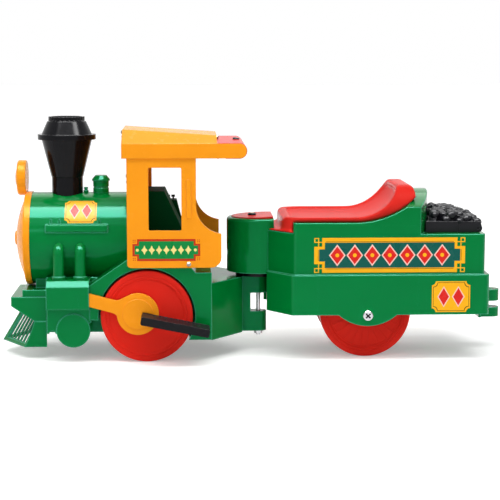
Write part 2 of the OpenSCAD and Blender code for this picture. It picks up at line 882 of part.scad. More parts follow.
// Flared stack: lower cone, ring, upper cone and a fluted rim
module stack_top() {
  z0 = stack_foot_z + stack_base_h;
  top = stack_h - stack_base_h;
  ring_h = 12;
  ring_z = top - 53;
  cone_r = 58.5;
  rim_r = 42;
  rim_h = 10;
  wall = 6;
  flutes = 24;
  flute_r = 2.2;
  color(black) translate([stack_x, 0, z0]) difference() {
    rotate_extrude() polygon([
      [0, 0], [stack_base_r + 1, 0], [cone_r, ring_z], [stack_ring_r, ring_z],
      [stack_ring_r, ring_z + ring_h], [cone_r, ring_z + ring_h],
      [rim_r + 3, top - rim_h - 1], [rim_r, top - rim_h], [rim_r, top], [0, top]
    ]);
    rotate_extrude() polygon([
      [0, wall - 1], [stack_base_r + 1 - wall, wall - 1], [cone_r - wall, ring_z + 3],
      [cone_r - wall, ring_z + ring_h - 3], [rim_r - wall, top - rim_h - 2],
      [rim_r - wall, top + eps], [0, top + eps]
    ]);
    for (i = [0 : flutes - 1])
      rotate([0, 0, 360 * i / flutes]) translate([rim_r + 0.6, 0, top - rim_h + 1])
        cylinder(r = flute_r, h = 2 * rim_h);
  }
}

module steam_dome() {
  sink = 8;
  top = sink + dome_h;
  groove_z = sink + 10;
  groove = 1.5;
  color(green) difference() {
    translate([boiler_x + dome_setback, 0, stack_foot_z - sink]) rotate_extrude() polygon([
      [0, 0], [dome_r, 0], [dome_r, groove_z], [dome_r - groove, groove_z + 1],
      [dome_r - groove, groove_z + 3], [dome_r, groove_z + 4], [dome_r, top - 15],
      [dome_r + 3, top - 12], [dome_r + 2, top - 9], [dome_r - 5.5, top], [0, top]
    ]);
    boiler_envelope(boiler_r);
  }
}

module safety_valve() {
  sink = 4;
  color(green) difference() {
    translate([boiler_x + valve_setback, 0, stack_foot_z - sink]) rotate_extrude() polygon([
      [0, 0], [6, 0], [6, 8], [4, 9], [4, 12], [5.5, 13], [4, 16], [0, 16]
    ]);
    boiler_envelope(boiler_r);
  }
}

// Cab side wall: window, post, sweep and grab strip
module cab_side() {
  difference() {
    polygon(rounded(
      [[cab_x, cab_low_z], [cab_rear_x, cab_low_z], [cab_rear_x, sweep_z - sweep_r],
       [cab_rear_x, wall_top_z], [cab_x, wall_top_z]],
      [9, 23, 0, 0, 0]
    ));
    translate([post_x, sweep_z]) square([far, far]);
    translate([post_x + sweep_r, sweep_z]) circle(sweep_r);
    translate([cab_x + window_setback, window_z]) polygon(rounded(
      [[0, 0], [window_len, 0], [window_len, window_h], [0, window_h]], [3, 3, 3, 3]
    ));
  }
}

module cab_wall_left() {
  strip = [11, 88];
  strip_t = 2;
  side_plate(-cab_half, -body_half) cab_side();
  side_plate(-cab_half - strip_t, -cab_half) translate([post_x - 2 * strip.x, window_z + 27])
    polygon(rounded([[0, 0], [strip.x, 0], strip, [0, strip.y]], [3, 3, 3, 3]));
}

module cab_left_wall() {
  color(yellow) cab_wall_left();
}

module cab_right_wall() {
  color(yellow) mirror([0, 1, 0]) cab_wall_left();
}

module cab_front_wall() {
  color(yellow) box([cab_x, -body_half, floor_z], [cab_x + cab_wall, body_half, wall_top_z]);
}

// Outside of the roof: rails below, tilted hood above
module roof_form(inset) {
  half = roof_half - inset;
  box([roof_x + inset, -half, roof_z - inset], [hood_rear_x - inset, half, rail_top_z - inset]);
  intersection() {
    translate([roof_x, 0, rail_top_z]) rotate([0, hood_fall, 0]) along(-20, hood_len + 20)
      polygon([
        [-half, -rail_h], [half, -rail_h], [half, -inset], [hood_flat - inset / 2, hood_rise - inset],
        [-hood_flat + inset / 2, hood_rise - inset], [-half, -inset]
      ]);
    box([roof_x + inset, -half, roof_z], [hood_rear_x - inset, half, far * 2]);
  }
}

module roof_rail() {
  side_plate(-roof_half, -roof_in_half) {
    translate([roof_x, roof_z]) square([bar_x - roof_x, rail_h]);
    translate([bar_x, bar_z]) circle(rail_end_r);
  }
}

module cab_roof() {
  color(yellow) {
    difference() {
      roof_form(0);
      roof_form(shell);
      box(
        [cab_x + shell, -roof_in_half, roof_z - eps],
        [hood_rear_x - shell, roof_in_half, rail_top_z - shell]
      );
    }
    both_sides() roof_rail();
  }
}

// Handlebar between the rails: flat top, finger slot from below and round grip
module handlebar() {
  under_z = bar_z - bar_r;
  grip_web = 13.5;
  bar_top = 5;
  color(red) difference() {
    across(roof_in_half) difference() {
      union() {
        translate([bar_x, bar_z]) circle(bar_r);
        translate([hood_rear_x, under_z]) square([bar_x - hood_rear_x, 2 * bar_r]);
      }
      translate([hood_rear_x + shell, under_z - eps])
        square([bar_x - bar_r - grip_web - hood_rear_x - shell, 2 * bar_r + eps - bar_top]);
    }
    button_place() button_hole(bar_button_r);
  }
}

// Seat of the horn button on top of the handlebar
module button_place() {
  translate([bar_x - 3, 0, bar_z + bar_r]) rotate([0, button_tilt, 0]) children();
}

// Push button: dome, stem and a flange that keeps it in
module push_button(r) {
  flange_z = -button_seat - side_gap - 0.1;
  flange_r = r + button_flange_out;
  top_z = button_travel + 1;
  rotate_extrude() polygon(rounded(
    [[0, flange_z - button_flange], [flange_r, flange_z - button_flange],
     [flange_r, flange_z], [r, flange_z], [r, top_z], [0, top_z]],
    [0, 0, 0, 0, 3.5, 0]
  ));
}

// Hole of a push button, with the pocket its flange moves in
module button_hole(r) {
  translate([0, 0, -button_pocket]) cylinder(r = r + side_gap, h = far);
  translate([0, 0, -button_pocket])
    cylinder(r = r + button_flange_out + 0.5, h = button_pocket - button_seat);
}

module handlebar_button() {
  color(black) button_place() push_button(bar_button_r);
}

// Boiler backhead inside the cab, with a lower gauge shelf
module backhead_console() {
  color(green) difference() {
    union() {
      across(console_half) console_side(console_z, console_len, 0);
      side_plate(console_half - eps, gauge_half) console_side(gauge_z, gauge_len, 0);
    }
    across(console_half - cab_wall) console_side(console_z, console_len, cab_wall);
    side_plate(console_half, gauge_half - cab_wall) console_side(gauge_z, gauge_len, cab_wall);
  }
}

// Side view of the console: flat top, then a slope down to the floor
module console_side(top, flat, inset) {
  front = cab_x + cab_wall + inset;
  knee = 118;
  knee_z = floor_z + 60;
  polygon([
    [front, floor_z - inset], [front, top - inset], [front + flat - 2 * inset, top - inset],
    [front + knee - 2 * inset, knee_z], [front + knee + 4 - 2 * inset, floor_z - inset]
  ]);
}

module console_knobs() {
  stem = 6;
  rear = cab_x + cab_wall + gauge_len;
  color(black) for (x = [rear - 20, rear - 8]) translate([x, (console_half + gauge_half) / 2, gauge_z]) {
    cylinder(r = 2, h = stem);
    translate([0, 0, stem]) cylinder(r = 4.5, h = 5);
  }
}

// Round screw heads on the cab and roof
module screw_head() {
  intersection() {
    translate([0, 0, -4.4]) sphere(7);
    cylinder(r = 5, h = 4);
  }
}

module cab_screws() {
  color(steel) {
    both_sides() {
      translate([post_x - 17, -cab_half, cab_low_z + 8]) rotate([90, 0, 0]) screw_head();
      translate([cab_x, -body_half + 18, window_z + 122]) rotate([0, -90, 0]) screw_head();
      translate([roof_x, -hood_flat + 10, rail_top_z + 12]) rotate([0, -90, 0]) screw_head();
    }
  }
}

module front_axle() {
  reach = rod_out + axle_in_footrest;
  color(steel) cross_rod(front_axle_x, wheel_r, -reach, reach, axle_r);
}

// Half section of a wheel, with its outer face towards +Z
module wheel_profile(bore) {
  face = wheel_w - wheel_dish;
  back = face - wheel_web;
  rim_in = wheel_r - wheel_rim;
  groove_r = 1;
  difference() {
    polygon(rounded(
      [[bore, 0], [wheel_hub_r, 0], [wheel_hub_r, back], [rim_in, back], [rim_in, 0],
       [wheel_r, 0], [wheel_r, wheel_w], [wheel_r - 17, wheel_w], [wheel_r - 22, face],
       [wheel_hub_r + 18, face], [wheel_hub_r + 6, wheel_w], [bore, wheel_w]],
      [0, 0, 2, 2, 0, 3, 4, 2, 2, 2, 2, 0]
    ));
    translate([wheel_r - 13, wheel_w]) circle(groove_r);
  }
}

module wheel(bore) {
  ribs = 8;
  rib_t = 4;
  rib_z = 6;
  rib_len = wheel_r - wheel_rim - wheel_hub_r + 2 * eps;
  rotate_extrude($fn = 128) wheel_profile(bore);
  for (i = [0 : ribs - 1])
    rotate([0, 0, 360 * i / ribs]) translate([wheel_hub_r - eps, -rib_t / 2, rib_z])
      cube([rib_len, rib_t, wheel_w - wheel_dish - wheel_web + eps - rib_z]);
}

module wheel_at(x, inner, bore) {
  translate([x, -inner, wheel_r]) rotate([90, 0, 0]) wheel(bore);
}

module front_wheel_left() {
  color(red) wheel_at(front_axle_x, front_wheel_in, axle_r + run_gap);
}

module front_wheel_right() {
  color(red) mirror([0, 1, 0]) wheel_at(front_axle_x, front_wheel_in, axle_r + run_gap);
}

// Washers on both faces of the front wheels
module hub_washers() {
  color(black) both_sides() {
    washer(-front_wheel_in + side_gap, -core_half);
    washer(-rod_in, -front_wheel_out - side_gap);
  }
}

module washer(y0, y1) {
  difference() {
    cross_rod(front_axle_x, wheel_r, y0, y1, 14);
    cross_rod(front_axle_x, wheel_r, y0 - eps, y1 + eps, axle_r);
  }
}

// Connecting rod: arm into the cylinder and an offset big end on the axle
module connecting_rod() {
  big_x = front_axle_x - 20;
  big_z = wheel_r + 7;
  arm_x = cylinder_rear_x - 25;
  arm_z = rod_low_z;
  arm_top_z = arm_z + rod_arm_h;
  boss_t = 2;
  difference() {
    union() {
      side_plate(-rod_out, -rod_in) {
        polygon(rounded(
          [[arm_x, arm_z], [cylinder_rear_x, arm_z], [big_x - 50, big_z + 1], [big_x - 24, big_z - 42],
           [big_x + 10, big_z], [big_x - 14, big_z + 46], [big_x - 46, arm_top_z - 17],
           [cylinder_rear_x, arm_top_z], [arm_x, arm_top_z]],
          [0, 0, 18, 0, 0, 0, 18, 0, 0]
        ));
        translate([big_x, big_z]) circle(big_end_r);
      }
      cross_rod(big_x, big_z, -rod_out - boss_t, -rod_out, big_end_r - 13);
    }
    cross_rod(front_axle_x, wheel_r, -far, far, axle_r);
    footrest_clear();
  }
}

// Room for the footrest's inner face on the rod's raised ring
module footrest_clear() {
  side_plate(-rod_out - 3, -rod_out) translate([front_axle_x, wheel_r]) rotate(-footrest_slope)
    translate([-footrest_front, -footrest_t / 2 - 1]) square([footrest_len, footrest_t + 2]);
}

module connecting_rod_left() {
  color(yellow) connecting_rod();
}

module connecting_rod_right() {
  color(yellow) mirror([0, 1, 0]) connecting_rod();
}

// Footrest: a ribbed bar from the axle end down to the body's peg
module footrest() {
  grooves = 9;
  groove_w = 5;
  groove_t = 1.5;
  groove_pitch = 13;
  margin = 6;
  difference() {
    side_plate(-footrest_out, -rod_out) translate([front_axle_x, wheel_r]) rotate(-footrest_slope)
      translate([-footrest_front, -footrest_t / 2]) polygon(rounded(
        [[0, 0], [footrest_len, 0], [footrest_len, footrest_t], [0, footrest_t]], [5, 5, 5, 5]
      ));
    cross_rod(front_axle_x, wheel_r, -rod_out - axle_in_footrest, -rod_out + eps, axle_r);
    cross_rod(footrest_peg_x, footrest_peg_z, -rod_out - footrest_peg_in, -rod_out + eps, footrest_peg_r);
    translate([front_axle_x, 0, wheel_r]) rotate([0, footrest_slope, 0])
      for (i = [0 : grooves - 1])
        let (x = 14 + i * groove_pitch)
          box(
            [x, -footrest_out + margin, footrest_t / 2 - groove_t],
            [x + groove_w, -rod_out - margin, footrest_t / 2 + eps]
          );
  }
}

module footrest_left() {
  color(black) footrest();
}

module footrest_right() {
  color(black) mirror([0, 1, 0]) footrest();
}

module turntable_washer() {
  color(black) translate([pin_x, 0, tail_top_z]) difference() {
    cylinder(r = washer_r, h = washer_h);
    translate([0, 0, -eps]) cylinder(r = pin_r + run_gap, h = far);
  }
}

module steering_pin() {
  low_end_z = lug_bottom_z - 12;
  color(steel) translate([pin_x, 0, low_end_z])
    cylinder(r = pin_r, h = column_z + pin_in_column - low_end_z);
}

module pin_nut() {
  nut_h = 8;
  color(steel) translate([pin_x, 0, lug_bottom_z - side_gap - nut_h]) difference() {
    cylinder(r = 10, h = nut_h, $fn = 6);
    translate([0, 0, -eps]) cylinder(r = pin_r, h = nut_h + 2 * eps);
  }
}

// Plans of the tender's lower and upper boxes
module low_plan() {
  polygon(rounded(
    [[tender_x, -taper_half], [taper_x, -low_half], [tender_rear_x, -low_half],
     [tender_rear_x, low_half], [taper_x, low_half], [tender_x, taper_half]],
    [6, 10, 9, 9, 10, 6], 4
  ));
}

module top_plan() {
  polygon(rounded(
    [[top_tender_x, -taper_half + box_step], [top_taper_x, -top_half], [top_rear_x, -top_half],
     [top_rear_x, top_half], [top_taper_x, top_half], [top_tender_x, taper_half - box_step]],
    [6, 9, 8, 8, 9, 6], 4
  ));
}

// Rise from the seat deck up to the hump
module rise_cut(r) {
  cross_rod(rear_axle_x - rise_ahead, deck_z + rise_r, -far, far, r);
}

module tender_outside() {
  upright(low_z, step_z) low_plan();
  intersection() {
    upright(step_z - eps, hump_z + hump_crown + eps) top_plan();
    along(tender_x, tender_rear_x) translate([0, hump_z + hump_crown - crown_r]) circle(crown_r, $fn = 180);
    difference() {
      box([tender_x, -far, 0], [tender_rear_x, far, far]);
      box([tender_x - eps, -far, taper_top_z], [top_taper_x - 3, far, far + eps]);
      box([tender_x - eps, -far, deck_z], [rear_axle_x - rise_ahead, far, far + eps]);
      rise_cut(rise_r);
      difference() {
        box([rear_axle_x + 60, -far, shelf_z], [tender_rear_x + eps, far, far + eps]);
        hump_round(0);
      }
    }
  }
  both_sides() side_plate(-low_half, -low_half + box_step + 2) intersection() {
    translate([rear_axle_x, low_z - lobe_drop + lobe_r]) circle(lobe_r);
    translate([rear_axle_x - far, 0]) square([2 * far, low_z + eps]);
  }
}

// Upright round that bows the hump's rear face
module hump_round(gap) {
  translate([bow_x, 0, 0]) cylinder(r = bow_r + gap, h = 2 * far, $fn = 180);
}

// Ribbed cells under the tender: wheel slots, gear cell and side cells
module tender_cells() {
  cell_top_z = deck_z - 6;
  outer = top_half - shell;
  low_outer = low_half - shell;
  front = top_taper_x + 2;
  mid = slot_out + cell_rib;
  rear = wheel_cell_rear_x + cell_rib;
  for (span = [[front, wheel_cell_x - cell_rib], [wheel_cell_x, wheel_cell_rear_x]]) {
    box([span[0], -gear_cell_half, 0], [span[1], gear_cell_half, cell_top_z]);
    both_sides() {
      box([span[0], slot_in, 0], [span[1], slot_out, cell_top_z]);
      box([span[0], mid, 0], [span[1], outer, cell_top_z]);
      box([span[0], mid, 0], [span[1], low_outer, step_z - shell]);
    }
  }
  both_sides() {
    box([rear, bay_half + cell_rib, 0], [top_rear_x - shell, outer, shelf_z - shell]);
    box([rear, bay_half + cell_rib, 0], [tender_rear_x - shell, low_outer, step_z - shell]);
    box([rear, cell_rib / 2, 0], [tender_rear_x - shell, bay_half, bay_floor_z - shell]);
    box([rear, cell_rib / 2, 0], [bay_x - 5 * cell_rib, bay_half, hump_z - 2 * shell]);
    box([bay_rear_x + cell_rib, cell_rib / 2, 0], [top_rear_x - shell, bay_half, shelf_z - shell]);
  }
}

// Knuckles on the rear shelf that hold the lid's hinge pin
module lid_knuckle() {
  side_plate(-knuckle_out, -knuckle_out + knuckle_w) {
    translate([hinge_x, hinge_z]) circle(hinge_knuckle_r - 3.5);
    translate([hinge_x - 6, shelf_z - eps]) square([12, hinge_z - shelf_z + eps]);
  }
}

module tender_body() {
  color(green) difference() {
    union() {
      difference() {
        tender_outside();
        tender_cells();
      }
      both_sides() {
        cross_rod(rear_axle_x, wheel_r, slot_out, low_half, 20);
        lid_knuckle();
      }
    }
    translate([pin_x, 0, 0]) cylinder(r = column_r, h = 2 * far);
    box([bay_x, -bay_half, bay_floor_z], [bay_rear_x, bay_half, far]);
    cross_rod(rear_axle_x, wheel_r, -slot_out + 1, slot_out - 1, 12);
    cross_rod(rear_axle_x, wheel_r, -far, far, axle_r + 2);
    both_sides() cross_rod(rear_axle_x, wheel_r, -far, -low_half + bush_len, bush_r);
    cross_rod(hinge_x, hinge_z, -far, far, hinge_r);
  }
}

// Round column whose top is cut flat in front of the seat
module column_form(inset, z0, low_top, top, edge) {
  r = column_r - inset;
  upright(z0, low_top) circle(r);
  intersection() {
    upright_round(z0, top, r, edge);
    box([-column_r, -column_r, z0], [column_flat - inset, column_r, top]);
  }
}

module steering_column() {
  boss_r = 14;
  button_well = 20;
  color(green) translate([pin_x, 0, 0]) difference() {
    column_form(0, column_z, taper_top_z, column_top_z, 6);
    difference() {
      column_form(shell, column_z - eps, taper_top_z - 2 * shell, column_top_z - 2 * shell, 0);
      translate([0, 0, column_z]) cylinder(r = boss_r, h = far);
      for (turn = [0, 90])
        rotate([0, 0, turn])
          box([-column_r, -shell / 2, column_z - eps], [column_r, shell / 2, far]);
    }
    translate([-button_ahead, 0, column_top_z - button_well])
      cylinder(r = button_r + button_flange_out + 1.5, h = button_well + eps);
    translate([0, 0, column_z - eps]) cylinder(r = pin_r, h = pin_in_column + eps);
  }
}

// Cylinder with a rounded top edge
module upright_round(z0, z1, r, edge) {
  translate([0, 0, z0]) rotate_extrude()
    polygon(rounded([[0, 0], [r, 0], [r, z1 - z0], [0, z1 - z0]], [0, 0, edge, 0]));
}

// Sloped cap on the column, cut straight at the seat
module column_cap() {
  cap_r = column_r - 11;
  cap_rear = column_flat - 1;
  color(red) difference() {
    intersection() {
      translate([pin_x, 0, column_top_z]) cylinder(r = cap_r, h = 40);
      across(cap_r + eps) polygon([
        [pin_x - cap_r - eps, column_top_z], [pin_x + cap_rear, column_top_z],
        [pin_x + cap_rear, column_top_z + 5], [pin_x - cap_r - eps, column_top_z + 1.5]
      ]);
    }
    column_button_place() button_hole(button_r);
  }
}

module column_button_place() {
  translate([pin_x - button_ahead, 0, column_top_z + 4]) children();
}

module column_button() {
  color(black) column_button_place() push_button(button_r);
}

// Side view of the seat
module seat_side() {
  bend_rise = seat_bend_r * (1 - cos(back_lean));
  back_x = bend_x + seat_bend_r * sin(back_lean) + (back_rise - bend_rise) / tan(back_lean);
  back_t = 34;
  difference() {
    polygon(rounded(
      [[seat_x, taper_top_z], [seat_x, seat_z], [bend_x, seat_z], [back_x, seat_z + back_rise],
       [back_x + back_t, seat_z + back_rise], [back_x + back_t + 12, taper_top_z]],
      [0, 12, 0, 8, 12, 0]
    ));
    translate([bend_x, seat_z + seat_bend_r]) circle(seat_bend_r);
  }
}

// Arch with straight sides and round upper corners
module arch(half, top, r) {
  translate([-half, -far]) square([2 * half, far + top - r]);
  translate([r - half, -far]) square([2 * (half - r), far + top]);
  for (side = [-1, 1])
    translate([side * (half - r), top - r]) circle(r);
}

// Plan of the seat, or of its dish, with round front corners
module seat_plan(x0, half, r) {
  translate([bend_x, 0]) rotate(90) arch(half, bend_x - x0, r);
}

module seat_block() {
  intersection() {
    across(far) seat_side();
    along(taper_x - far, rear_axle_x + far) arch(seat_half, seat_z + back_rise, back_corner_r);
    upright(0, 2 * far) seat_plan(seat_x, seat_half, seat_corner_r);
  }
}

// Dish that runs along the pan and up the back, inside an arch
module seat_dish_cut() {
  dish_edge = 3;
  ball = dome_sphere(dish_half, seat_dish - dish_edge);
  start_x = seat_x + 2 * seat_rim;
  past_lean = 20;
  intersection() {
    union() {
      translate([start_x, 0, seat_z - seat_dish + ball]) rotate([0, 90, 0])
        cylinder(r = ball, h = bend_x - start_x, $fn = 720);
      translate([bend_x, 0, seat_z + seat_bend_r]) rotate([90, 0, 0]) rotate([0, 0, -90])
        rotate_extrude(angle = back_lean + past_lean, $fn = 128) dish_profile(ball);
    }
    along(start_x, rear_axle_x + far)
      arch(dish_half, seat_z + back_rise - seat_rim, back_corner_r - seat_rim);
    upright(0, 2 * far) seat_plan(start_x, dish_half, seat_corner_r - seat_rim);
  }
}

// Section of the dish, measured out from the axis of the seat's bend
module dish_profile(ball) {
  intersection() {
    translate([seat_bend_r + seat_dish - ball, 0]) circle(ball, $fn = 720);
    translate([0, -ball]) square([2 * ball, 2 * ball]);
  }
}

// Apron of the seat on the tapered front, cut around the column
module seat_apron() {
  difference() {
    intersection() {
      upright(taper_top_z, taper_top_z + apron_t) top_plan();
      box([tender_x, -far, 0], [top_taper_x - 3, far, far]);
    }
    intersection() {
      translate([pin_x, 0, 0]) cylinder(r = column_r + side_gap, h = column_top_z);
      box([pin_x - far, -far, 0], [pin_x + column_flat + side_gap, far, far]);
    }
  }
}

module seat() {
  color(red) {
    difference() {
      seat_block();
      seat_dish_cut();
      box([tender_x - far, -far, 0], [taper_x + 4, far, taper_top_z]);
      box([top_taper_x - 3, -far, 0], [rear_axle_x - rise_ahead, far, deck_z]);
      seat_under();
    }
    seat_apron();
  }
}

// Everything of the tender below the seat's back
module seat_under() {
  difference() {
    box([rear_axle_x - rise_ahead, -far, 0], [rear_axle_x + far, far, deck_z + rise_r]);
    rise_cut(rise_r);
  }
}

// Coal lid: rim box bowed along the hump, heap of coal, ears and a rear edge about the hinge
module coal_lid() {
  low = shelf_z + side_gap;
  top = shelf_z + lid_h;
  wall = 3;
  ear_in = knuckle_out + side_gap;
  notch_x = lid_x + lid_len / 2;
  lean = 15;
  lean_r = hinge_knuckle_r - 0.4;
  rear_top = (lean_r - (top - hinge_z) * sin(lean)) / cos(lean);
  inner_rear_x = hinge_x + rear_top - wall;
  color(black) difference() {
    union() {
      difference() {
        across(lid_half) {
          translate([hump_corner_x, low]) square([hinge_x - hump_corner_x, top - low]);
          translate([hinge_x, hinge_z]) {
            circle(hinge_knuckle_r);
            polygon([
              [-eps, 0], lean_r * [cos(lean), sin(lean)],
              [rear_top, top - hinge_z], [-eps, top - hinge_z]
            ]);
          }
        }
        hump_round(lid_gap);
        difference() {
          box([hump_corner_x, -lid_half + wall, low - eps], [inner_rear_x, lid_half - wall, top - wall]);
          hump_round(lid_gap + wall);
        }
      }
      both_sides() side_plate(-lid_half, -ear_in)
        translate([hinge_x, hinge_z]) circle(hinge_knuckle_r - 1);
      difference() {
        intersection() {
          coal_heap(top - 1);
          box(
            [hump_corner_x, wall - lid_half + 1, top - wall + 1],
            [inner_rear_x - 1, lid_half - wall - 1, far]
          );
        }
        hump_round(lid_gap + wall + 1);
      }
    }
    cross_rod(hinge_x, hinge_z, -far, far, hinge_r + run_gap);
    both_sides() {
      box(
        [hinge_x + 2, -ear_in - side_gap, low - eps],
        [lid_rear_x + eps, -knuckle_out + knuckle_w + 2 * side_gap, hinge_z + hinge_knuckle_r + 1.5]
      );
      box([notch_x - 2, -lid_half - eps, low - eps], [notch_x + 2, -lid_half + 1.2, top - 2]);
    }
  }
}

// Lumps of coal laid in rows, each a turned block
module coal_heap(z) {
  rows = 9;
  columns = 6;
  per_lump = 5;
  margin = 12;
  jog = 3;
  lean = 24;
  first_x = hump_corner_x + 8;
  spread = rands(-1, 1, rows * columns * per_lump, 7);
  pitch_y = 2 * (lid_half - margin) / rows;
  pitch_x = (lid_rear_x - margin - first_x) / columns;
  for (i = [0 : rows - 1], j = [0 : columns - 1]) {
    k = (i * columns + j) * per_lump;
    fall = j == columns - 1 ? 8 : 0;
    translate([
      first_x + pitch_x * (j + 0.4) + jog * spread[k],
      -lid_half + margin + pitch_y * (i + 0.5) + jog * spread[k + 1],
      z + heap_h / 2 - 8 - fall + jog * spread[k + 2]
    ])
      rotate([lean * spread[k + 3], lean * spread[k + 4], 60 * spread[k]])
        cube([pitch_x * 0.95, pitch_y * 0.82, heap_h + 6], center = true);
  }
}

module lid_hinge_pin() {
  color(steel) cross_rod(hinge_x, hinge_z, -lid_half + 1, lid_half - 1, hinge_r);
}

module battery() {
  size = [50, 151, 94];
  x0 = (bay_x + bay_rear_x - size.x) / 2;
  color("#30343c") {
    box([x0, -size.y / 2, bay_floor_z], [x0 + size.x, size.y / 2, bay_floor_z + size.z]);
    for (y = [-58, 58]) translate([x0 + size.x / 2, y, bay_floor_z + size.z]) cylinder(r = 5, h = 4);
  }
}

// Side view of the gearbox: rounds about the three shafts
module gearbox_side(grow) {
  translate([rear_axle_x, wheel_r]) circle(slow_module * big_teeth / 2 + 4 + grow);
  translate([mid_x, mid_z]) circle(fast_module * big_teeth / 2 + 4 + grow);
  translate([motor_x, motor_z]) circle(motor_r + grow);
}

module gearbox_case() {
  color(black) difference() {
    union() {
      side_plate(case_y, cover_y) gearbox_side(case_wall);
      box([mid_x - 14, case_y, motor_z], [mid_x + 14, case_y + 10, deck_z - 6]);
    }
    side_plate(case_y + case_wall, cover_y + eps) gearbox_side(0);
    cross_rod(rear_axle_x, wheel_r, -far, far, axle_r + run_gap);
    cross_rod(mid_x, mid_z, -far, far, mid_shaft_r);
  }
}

module gearbox_cover() {
  color(black) difference() {
    side_plate(cover_y, cover_y + cover_t) gearbox_side(case_wall);
    cross_rod(rear_axle_x, wheel_r, -far, far, axle_r + run_gap);
    cross_rod(mid_x, mid_z, -far, far, mid_shaft_r);
    cross_rod(motor_x, motor_z, -far, far, motor_shaft_r + 2);
  }
}

module motor() {
  color(steel) difference() {
    cross_rod(motor_x, motor_z, cover_y + cover_t, cover_y + cover_t + motor_len, motor_r);
    cross_rod(motor_x, motor_z, 0, cover_y + cover_t + 20, motor_shaft_r + run_gap);
  }
}

// Gear on a Y axis, turned so that a tooth or a gap faces its mate
module gear_at(x, z, y0, w, teeth, m, turn) {
  side_plate(y0, y0 + w) translate([x, z]) rotate(turn) gear_plan(teeth, m);
}

module motor_pinion() {
  turn = fast_dir + 180 + 180 / small_teeth;
  color(cream) {
    gear_at(motor_x, motor_z, fast_gear_y - 1, fast_gear_w + 1, small_teeth, fast_module, turn);
    cross_rod(motor_x, motor_z, fast_gear_y + fast_gear_w - 1, cover_y + cover_t + 19, motor_shaft_r);
  }
}

module intermediate_gear() {
  turn = slow_dir + 180 + 180 / small_teeth;
  pinion_w = fast_gear_y - slow_gear_y + eps;
  color(cream) difference() {
    union() {
      gear_at(mid_x, mid_z, fast_gear_y, fast_gear_w, big_teeth, fast_module, fast_dir);
      gear_at(mid_x, mid_z, slow_gear_y, pinion_w, small_teeth, slow_module, turn);
    }
    cross_rod(mid_x, mid_z, -far, far, mid_shaft_r + run_gap);
  }
}

module intermediate_shaft() {
  color(steel) cross_rod(mid_x, mid_z, case_y, cover_y + cover_t, mid_shaft_r);
}

module axle_gear() {
  color(cream) difference() {
    gear_at(rear_axle_x, wheel_r, slow_gear_y, slow_gear_w, big_teeth, slow_module, slow_dir);
    cross_rod(rear_axle_x, wheel_r, -far, far, axle_r);
  }
}

module rear_axle() {
  color(steel) cross_rod(rear_axle_x, wheel_r, -low_half - 4, low_half + 4, axle_r);
}

// Nylon bushes in the tender's lobes
module axle_bushes() {
  color(cream) both_sides() difference() {
    cross_rod(rear_axle_x, wheel_r, -low_half, -low_half + bush_len, bush_r);
    cross_rod(rear_axle_x, wheel_r, -far, far, axle_r + run_gap);
  }
}

module axle_caps() {
  color("#e6e8ea") both_sides() difference() {
    translate([rear_axle_x, -low_half - side_gap, wheel_r]) rotate([90, 0, 0]) rotate_extrude()
      polygon(rounded([[0, 0], [12, 0], [12, 6], [0, 6]], [0, 0, 3.5, 0]));
    cross_rod(rear_axle_x, wheel_r, -low_half - 4, far, axle_r);
  }
}

module rear_wheel_left() {
  color(red) wheel_at(rear_axle_x, rear_wheel_in, axle_r);
}

module rear_wheel_right() {
  color(red) mirror([0, 1, 0]) wheel_at(rear_axle_x, rear_wheel_in, axle_r);
}

// Coupling: back plate and two bored lugs
module coupling_ear(z0, h) {
  upright(z0, z0 + h) {
    translate([tender_rear_x, -coupling_r]) square([coupling_reach - coupling_r, 2 * coupling_r]);
    translate([tender_rear_x + coupling_reach - coupling_r, 0]) circle(coupling_r);
  }
}

module rear_coupling() {
  top_ear_z = coupling_z + low_ear_h + ear_gap;
  color(green) difference() {
    union() {
      box([tender_rear_x, -30, coupling_z], [tender_rear_x + 6, 30, top_ear_z + top_ear_h + 6]);
      coupling_ear(coupling_z, low_ear_h);
      coupling_ear(top_ear_z, top_ear_h);
    }
    translate([tender_rear_x + coupling_reach - coupling_r, 0, 0]) cylinder(r = coupling_bore_r, h = far);
  }
}

loco_chassis();
boiler_shell();
boiler_front();
headlamp_lens();
buffer_beam();
cowcatcher();
cylinder_left();
cylinder_right();
steam_pipes();
stack_base();
stack_top();
steam_dome();
safety_valve();
cab_left_wall();
cab_right_wall();
cab_front_wall();
cab_roof();
handlebar();
handlebar_button();
backhead_console();
console_knobs();
cab_screws();
front_axle();
front_wheel_left();
front_wheel_right();
hub_washers();
connecting_rod_left();
connecting_rod_right();
footrest_left();
footrest_right();
turntable_washer();
steering_pin();
pin_nut();
tender_body();
steering_column();
column_cap();
column_button();
seat();
coal_lid();
lid_hinge_pin();
battery();
gearbox_case();
gearbox_cover();
motor();
motor_pinion();
intermediate_gear();
intermediate_shaft();
axle_gear();
rear_axle();
axle_bushes();
axle_caps();
rear_wheel_left();
rear_wheel_right();
rear_coupling();
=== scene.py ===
import json
import math
import random

import bmesh
import bpy
from mathutils import Matrix, Vector, noise
from mathutils.bvhtree import BVHTree


